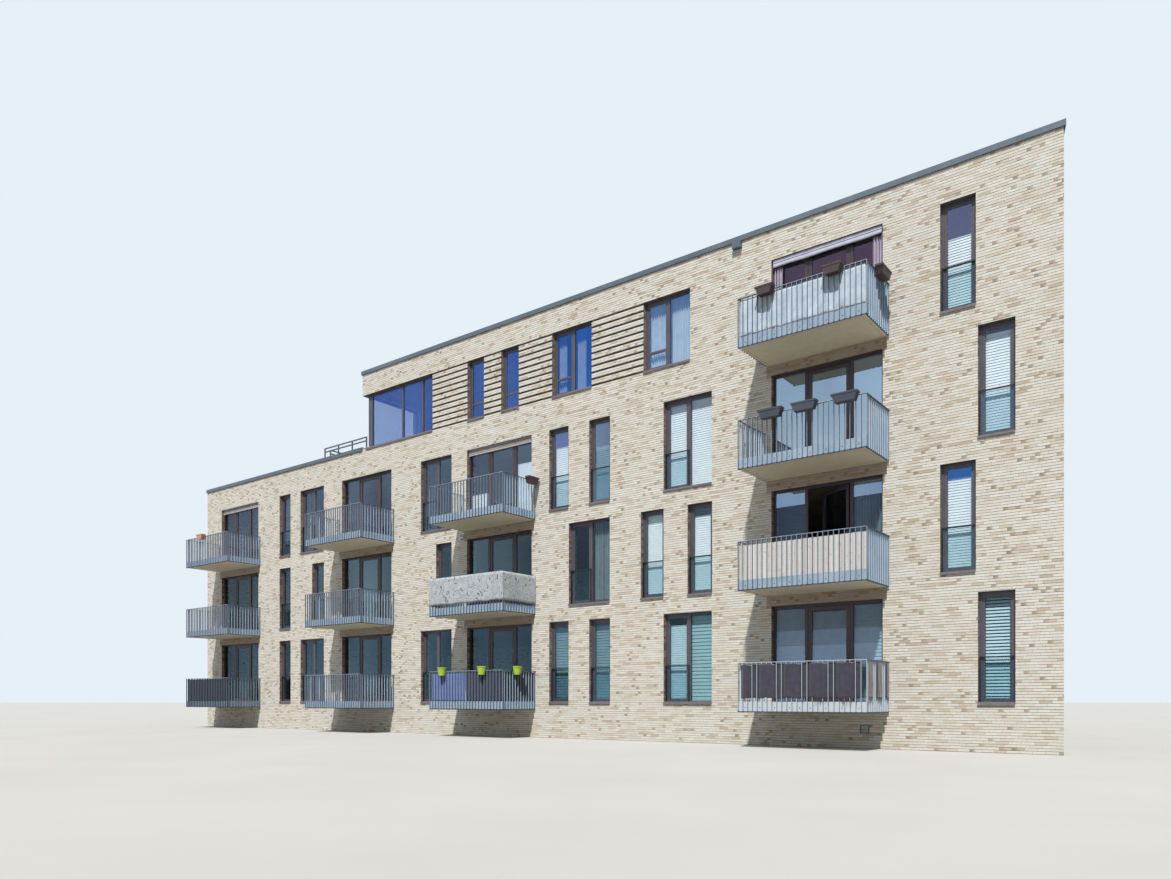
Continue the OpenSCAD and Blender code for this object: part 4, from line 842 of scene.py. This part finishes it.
def hang_threaded():
    z = floor_z(1)
    x0, y0 = balcony_x("r"), EDGE_Y
    left_at = (x0, FRONT - SIDE_PITCH / 2 + BAR_W / 2)
    right_at = (x0 + BALCONY_W, y0 + CORNER + SIDE_PITCH / 2 - BAR_W / 2)
    runs = {
        "dark_cloth_front": threaded(24, BAR_PITCH, 1, (x0 + BAR_PITCH, y0), (1, 0), (0, -1)),
        "dark_cloth_left": threaded(12, SIDE_PITCH, 0, left_at, (0, -1), (-1, 0)),
        "dark_cloth_right": threaded(12, SIDE_PITCH, 0, right_at, (0, 1), (1, 0)),
    }
    for seed, (name, (path, out, loose)) in enumerate(runs.items()):
        cloth(name, (path, out), (z + 0.122, z + 0.916), DARK, "dark_fabric",
              push=creases(seed, loose), row=0.03,
              rise=lambda s, v: (1 - v) ** 2 * 0.03 * (ripple(s, ((0.5, 1), (0.13, 0.7)), seed) - 0.3))
    # Loose threads of the torn lower edge, over the right half of the edge plate
    rng = random.Random(11)
    shape = [], []
    u = 1.62
    while u < 3.0:
        w = rng.uniform(0.006, 0.016)
        i = int((u - BAR_W / 2) / BAR_PITCH)
        if i % 5 < 3 or (u - BAR_W / 2) / BAR_PITCH - i < 0.3:
            drop = rng.uniform(0.04, 0.17)
            lean = rng.uniform(-0.02, 0.02)
            rings = []
            for f in (0, 0.25, 0.5, 0.75, 1):
                x = x0 + u + lean * f * f
                y = y0 - 0.0025 + 0.0008 * sin(9 * f + u * 40)
                half = w / 2 * (1 - 0.6 * f)
                rings.append([(x + dx, y + dy, z + 0.14 - drop * f) for dx, dy in (
                    (-half, 0.001), (half, 0.001), (half, -0.001), (-half, -0.001))])
            tube(shape, rings)
        u += rng.uniform(0.014, 0.05)
    add_piece("torn_fringe", shape, DARK)


def slats(shape, x0, x1, z0, z1, y0, y1, pitch, rail=0.022, steep=80, thick=0.0009, cover=0.55):
    """Adds a slatted blind: bent slats, head and bottom rail, ladder tapes."""
    def prism(section, a, b):
        tube(shape, [[(x, y, z) for y, z in section] for x in (a, b)])

    mid = (y0 + y1) / 2
    half = min(((y1 - y0) / 2 - 0.0007) / cos(radians(steep)), pitch * cover)
    dy, dz = half * cos(radians(steep)), half * sin(radians(steep))
    n = int((z1 - rail - z0 - rail) / pitch)
    for i in range(n):
        z = z1 - rail - (i + 0.5) * (z1 - z0 - 2 * rail) / n
        upper = [(mid + dy, z + dz), (mid - 0.3 * dz / 9, z + 0.002), (mid - dy, z - dz)]
        lower = [(y - 0.0006, q - thick) for y, q in reversed(upper)]
        prism(upper + lower, x0 + 0.002, x1 - 0.002)
    for a, b in ((z0, z0 + rail), (z1 - rail, z1)):
        prism([(y0 + 0.001, a), (y1 - 0.001, a), (y1 - 0.001, b), (y0 + 0.001, b)], x0, x1)
    low, high = z0 + rail, z1 - rail
    for f in ((0.18, 0.82) if x1 - x0 < 1.2 else (0.1, 0.37, 0.63, 0.9)):
        x = x0 + f * (x1 - x0)
        for y in (y0 + 0.0006, y1 - 0.0012):
            prism([(y, low), (y + 0.0006, low), (y + 0.0006, high), (y, high)], x - 0.0015, x + 0.0015)


BLIND_Y = (FRONT + 0.2006, FRONT + 0.22)
LAP = 0.015
LIGHTS = {"n": (0.06, 0.63), "0": (0.06, 0.6525), "1": (0.7875, 0.6525), "d0": (0.06, 0.78),
          "d1": (2.06, 0.68)}
# For each storey and colour: place and light of the opening, what stays bare below, and pitch
LOWERED = {
    (2, "pale"): ((22.85, "n", 0.03, 0.06), (24.36, "n", 0.25, 0.06), (30.88, "n", 0.25, 0.06)),
    (3, "pale"): ((19.52, "n", 0.48, 0.06), (31.67, "n", 0.12, 0.06), (23.6, "0", 0.03, 0.06),
                  (23.6, "1", 0.03, 0.06), (16.02, "d0", 1.4, 0.06), (16.02, "d1", 0.7, 0.06)),
    (4, "pale"): ((30.88, "n", 0.7, 0.06),),
    (1, "grey"): ((26.8, "d0", 0.03, 0.085), (26.8, "d1", 0.03, 0.085)),
    (1, "teal"): ((23.6, "1", 0.03, 0.095),),
    (1, "mid"): ((31.67, "n", 0.03, 0.07), (23.6, "0", 0.25, 0.06)),
    (1, "dim"): ((19.52, "n", 0.13, 0.08), (21.04, "n", 0.13, 0.08)),
    (3, "dim"): ((21.04, "n", 0.7, 0.06),),
}
# How steep the slats of a pitch stand and how much of it half a slat covers
SLOPES = {0.07: (70, 0.45), 0.095: (80, 0.48)}


def hang_blinds():
    for (s, kind), blinds in LOWERED.items():
        shape = [], []
        for x, light, bare, pitch in blinds:
            dx, w = LIGHTS[light]
            steep, cover = SLOPES.get(pitch, (80, 0.52))
            slats(shape, LEFT + x + dx - LAP, LEFT + x + dx + w + LAP, floor_z(s) + 0.0605,
                  floor_z(s) + 2.37 - bare, *BLIND_Y, pitch, steep=steep, cover=cover)
        add_piece(f"slatted_blinds_{s}_{kind}", shape, SLATS[kind], "lowered_blinds")
    hinge = LEFT + DOORS["r"] + 1.977
    z = floor_z(1) + 0.163
    shape = [], []
    slats(shape, hinge - 0.974, hinge - 0.08, z, z + 2.074, *BLIND_Y, 0.06)
    add_piece("slatted_blind_leaf", shape, SLATS["grey"], "leaf_blind", body="door_right")
    for column in ("m", "l"):
        x, z = LEFT + DOORS[column], floor_z(3) + OPENING_H
        shape = [], []
        slats(shape, x + 0.031, x + DOOR_W - 0.031, z - 0.189, z - 0.001, FRONT + 0.061, FRONT + 0.119,
              0.0235, rail=0.018, steep=20, thick=0.011, cover=9)
        add_piece(f"raised_blind_{column}", shape, SLATS["stacked"], "raised_blinds")


def pleats(x0, x1, y, deep, pleat):
    n = max(12, int((x1 - x0) / pleat * 12))
    path = []
    for i in range(n + 1):
        x = x0 + (x1 - x0) * (i / n)
        w = 2 * pi * (x - x0) / pleat
        path.append((x, y + deep * sin(w + 0.5 * sin(w * 0.37))))
    return path, [(0, -1)] * len(path)


def hang_curtains():
    tall, high = 2.425, 1.935
    hung = []
    for i, dx in enumerate((0.06, 0.7875)):
        hung.append((f"curtain_c{i + 1}", 19.63 + dx, 0.32, HIGH_Z, high, SHEER))
        hung.append((f"curtain_d{i + 1}", 22.94 + dx, 0.6525, HIGH_Z, high, SHEER))
    for i, off in enumerate((0.0, 0.3325)):
        hung.append((f"curtain_h{i + 1}", 20.28 + 0.7875 + off, 0.32, floor_z(2), tall, VEIL))
    hung.append(("curtain_door", 26.8 + 2.06, 0.68, floor_z(2), tall, VEIL))
    for name, x, w, z, top, material in hung:
        cloth(name, pleats(LEFT + x + 0.004, LEFT + x + w - 0.004, FRONT + 0.255, 0.022, 0.075),
              (z + 0.064, z + top), material, "curtains",
              thick=0.0016,
              push=lambda s, v: 0.006 * np.sin(s * 11) * (1 - v))
    x, z = LEFT + DOORS["r"], floor_z(4)
    for name, x0 in (("drape_left", x + 0.032), ("drape_right", x + DOOR_W - 0.27)):
        cloth(name, pleats(x0, x0 + 0.236, FRONT + 0.0945, 0.021, 0.06), (z + 0.03, z + 2.228), DRAPE,
              "drapes", thick=0.002,
              push=lambda s, v: 0.002 * np.sin(s * 23) * (1 - v))
    # Rolled awning: the roll under the lintel, and its valance hanging in front
    ends = x + 0.034, x + DOOR_W - 0.034
    shape, section = ([], []), []
    turns = 22
    for i in range(turns):
        w = 2 * pi * i / turns
        r = 0.04 + 0.0015 * sin(5 * w)
        section.append((FRONT + 0.072 + r * cos(w), z + 2.385 + r * sin(w)))
    tube(shape, [[(end, *p) for p in section] for end in ends])
    add_piece("awning_roll", shape, LILAC, "rolled_awning")
    path = straight(*((end, FRONT + 0.026) for end in ends))
    cloth("awning_valance", (path, [(0, -1)] * len(path)), (z + 2.232, z + 2.424), VALANCE,
          "rolled_awning", thick=0.002,
          push=lambda s, v: 0.01 * ripple(s, ((0.7, 1), (0.26, 0.5)), 2) * (1 - v),
          rise=lambda s, v: 0.006 * (1 - v) * np.sin(s * 5))


PLATE_FACE = 0.0402


def add_bolts():
    """Domed heads on the balconies' edge plates."""
    shape = [], []
    r, t = 0.011, 0.009

    def head(x, y, z, out):
        rings = [[(radius * cos(w), d, radius * sin(w)) for w in np.pi * (np.arange(8) + 0.5) / 4]
                 for radius, d in ((r, 0.0), (r, 0.55 * t), (0.6 * r, t))]
        tube(shape, [[spot((x, y, z), (-out[1], out[0]), out, *p) for p in ring] for ring in rings])

    for column, s in [(column, s) for column in DOORS for s in (1, 2, 3, 4) if s < 4 or column == "r"]:
        x, y, z = balcony_x(column), EDGE_Y, floor_z(s) - 0.1
        for i in (1, 4, 7, 10, 12, 14, 17, 20, 23):
            head(x + (i + 0.5) * BAR_PITCH + BAR_W / 2, y + PLATE_FACE, z, (0, -1))
        for i in (1, 4, 7, 10):
            side_y = y + CORNER + (i + 1) * SIDE_PITCH
            head(x + PLATE_FACE, side_y, z, (-1, 0))
            head(x + BALCONY_W - PLATE_FACE, side_y, z, (1, 0))
    add_piece("edge_plate_bolts", shape, STEEL)


def planter(shape, soil, at, length, along, out):
    """A tapering trough with a rim band, a seam in the middle and two straps over the rail.
    at is the corner of its upright back, along its length and out away from the rail."""
    width, height, taper, rim, wall = 0.19, 0.2, 0.025, 0.042, 0.006
    place = functools.partial(spot, at, along, out)
    seam = []
    band = (0.012, 0.006, 0.6)
    for u, (foot, crest, deep) in ((0.06, band), (0.5, (0.008, 0.004, 1)), (0.94, band)):
        foot, crest = foot / length, crest / length
        seam += [(u - foot, 0), (u - crest, deep), (u + crest, deep), (u + foot, 0)]

    def ring(z, inset, groove=0.0, end=None, back=0.0):
        e = inset if end is None else end
        face = [(e + (length - 2 * e) * u, width - inset - groove * d) for u, d in seam]
        row = [(e, back), (e, width - inset), *face, (length - e, width - inset), (length - e, back)]
        return [place(u, v, z) for u, v in row]

    tube(shape, [
        ring(0, taper, 0.003, 0.075), ring(height - rim - 0.004, 0.01, 0.004, 0.02),
        ring(height - rim, 0.0015), ring(height - 0.003, 0.0), ring(height, 0.002),
        ring(height, wall, back=wall), ring(height - 0.03, wall + 0.001, back=wall)])
    for u in (0.22, 0.78):
        for (v0, v1), levels in (((-0.052, -0.003), (0.1415, 0.1435)), ((-0.054, -0.052), (0.105, 0.1435))):
            a, b = u * length - 0.011, u * length + 0.011
            section = ((a, v0), (a, v1), (b, v1), (b, v0))
            tube(shape, [[place(*p, z) for p in section] for z in levels])
    rng = random.Random(int(at[0] * 100))
    b, nu, nv = len(soil[0]), 24, 7
    for i in range(nu + 1):
        for j in range(nv + 1):
            u = wall + 0.002 + (length - 2 * wall - 0.004) * i / nu
            v = wall + 0.002 + (width - 2 * wall - 0.004) * j / nv
            soil[0].append(place(u, v, height - 0.024 + rng.uniform(0, 0.012)))
    for a in (b + i * (nv + 1) + j for i in range(nu) for j in range(nv)):
        soil[1].append((a, a + nv + 1, a + nv + 2, a + 1))


def add_planters():
    soil = ([], [])
    y = EDGE_Y - 0.0003
    side = BALCONY_D - CORNER
    groups = (("planters_lower", PLANTER, "r", 3, (0.605, 1.43, 2.38), 0.6, None),
              ("planters_upper", BROWN, "r", 4, (0.53, 2.17), 0.45, ((side - 0.6) / 2, 0.6)),
              ("planter_side", BROWN, "m", 3, (), 0.45, (side - 0.5, 0.45)),
              ("planter_left", PEACH, "l", 3, (1.12,), 0.45, None))
    for name, material, column, s, places, length, on_side in groups:
        shape = [], []
        x0, z = balcony_x(column), floor_z(s) + 0.83
        for u in places:
            planter(shape, soil, (x0 + u, y, z), length, (1, 0), (0, -1))
        if on_side:
            at = (x0 + BALCONY_W + 0.0003, EDGE_Y + CORNER + on_side[0], z)
            planter(shape, soil, at, on_side[1], (0, 1), (1, 0))
        add_piece(name, shape, material, "planter_boxes")
    add_piece("planter_soil", soil, SOIL, "planter_boxes")


POT_R, POT_FOOT, POT_H = 0.15, 0.105, 0.25
POT_OUT = 0.1903


def pot(shape, soil, at, along, out):
    """A round pot with a flattened back, a rolled rim and a foot ring; at is the rail's
    outer edge at the pot's middle, level with the foot."""
    n, rings = 40, 6
    profile = [(POT_FOOT - 0.01, 0.0), (POT_FOOT - 0.002, 0.004), (POT_FOOT - 0.002, 0.014),
               (POT_FOOT + 0.0015, 0.018), (POT_R - 0.0105, POT_H - 0.034), (POT_R - 0.004, POT_H - 0.031),
               (POT_R, POT_H - 0.026), (POT_R, POT_H - 0.003), (POT_R - 0.003, POT_H),
               (POT_R - 0.007, POT_H - 0.001), (POT_R - 0.0085, POT_H - 0.03)]
    place = functools.partial(spot, at, along, out)
    mid = POT_OUT - POT_R

    def ring(r, back):
        angles = (2 * pi * (i + 0.5) / n for i in range(n))
        return [(r * cos(w), max(back, mid + r * sin(w))) for w in angles]

    tube(shape, [[place(*p, z) for p in ring(r, 0.0085 if k > 8 else 0.0003)]
                 for k, (r, z) in enumerate(profile)])
    rng = random.Random(int(at[0] * 90))
    centre = len(soil[0])
    soil[0].append(place(0, mid, POT_H - 0.018))
    for k in range(1, rings + 1):
        soil[0].extend([place(*p, POT_H - 0.026 + rng.uniform(0, 0.012))
                        for p in ring((POT_R - 0.0095) * k / rings, 0.0095)])
    for i in range(n):
        a, b = centre + 1 + i, centre + 1 + (i + 1) % n
        soil[1].append((centre, a, b))
        soil[1].extend([(a + k * n, a + k * n + n, b + k * n + n, b + k * n) for k in range(rings - 1)])


def add_pots():
    shape, soil = ([], []), ([], [])
    x0, y, z = balcony_x("m"), EDGE_Y, floor_z(1) + RAIL_TOP + 0.11 - POT_H
    for u in (0.62, 2.33):
        pot(shape, soil, (x0 + u, y, z), (1, 0), (0, -1))
    pot(shape, soil, (x0 + BALCONY_W, y + CORNER + 0.54, z), (0, 1), (1, 0))
    add_piece("rail_pots_lime", shape, LIME, "rail_pots")
    add_piece("pot_soil", soil, SOIL, "rail_pots")


hang_screens()
add_planters()
add_pots()
hang_canes()
hang_threaded()
hang_blinds()
hang_curtains()
add_bolts()


# Camera, floor and light

PHOTO_W, PHOTO_H = 1171, 879
FOCAL, HORIZON = 875, 700


def seen(g):
    """Whether a ray shows what it meets: to the camera, in a mirror or through glass."""
    path = g.node("LightPath")
    return any_of([Value(g, path.outputs[f"Is {kind} Ray"]) for kind in ("Camera", "Glossy", "Transmission")])


def make_stage():
    scene = bpy.context.scene
    cam = bpy.data.cameras.new("camera")
    cam.sensor_fit = "HORIZONTAL"
    cam.sensor_width = 36.0
    cam.lens = FOCAL / PHOTO_W * 36.0
    cam.shift_y = (HORIZON - PHOTO_H / 2) / PHOTO_W
    cam.clip_end = 400
    scene.camera = add_object("camera", cam)
    scene.camera.location = (LEFT + 36.52, FRONT - 20.28, 1.14)
    scene.camera.rotation_euler = (pi / 2, 0, radians(37.6))

    mesh = bpy.data.meshes.new("floor")
    r = 400
    mesh.from_pydata([(-r, -r, 0), (r, -r, 0), (r, r, 0), (-r, r, 0)], [], [(0, 1, 2, 3)])
    floor = add_object("floor", mesh)
    floor.location.z = -0.002
    g = new_material("floor")
    pale = g.ramp(g.noise(g.coords(), 0.3, 3.0, 0.55), [(0.3, (0.47, 0.47, 0.46)), (0.7, (0.5, 0.5, 0.49))])
    mesh.materials.append(g.surface(Base_Color=g.mix(seen(g), (0.22, 0.21, 0.19), pale), Roughness=0.9))

    scene.world = bpy.data.worlds.new("world")
    scene.world.use_nodes = True
    g = Graph(scene.world.node_tree, "OutputWorld")
    light = g.node("Background", (0.86, 0.93, 1.0, 1), 0.4)
    g.blend(seen(g), light, g.node("Background", (*srgb(0.9, 0.94, 0.97), 1), 1.0))

    sun = bpy.data.lights.new("key", "SUN")
    sun.energy = 4.4
    sun.angle = radians(2)
    sun.color = (1.0, 0.96, 0.9)
    add_object("key", sun).rotation_euler = (radians(34), 0, radians(21.8))

    scene.view_settings.view_transform = "Standard"


make_stage()
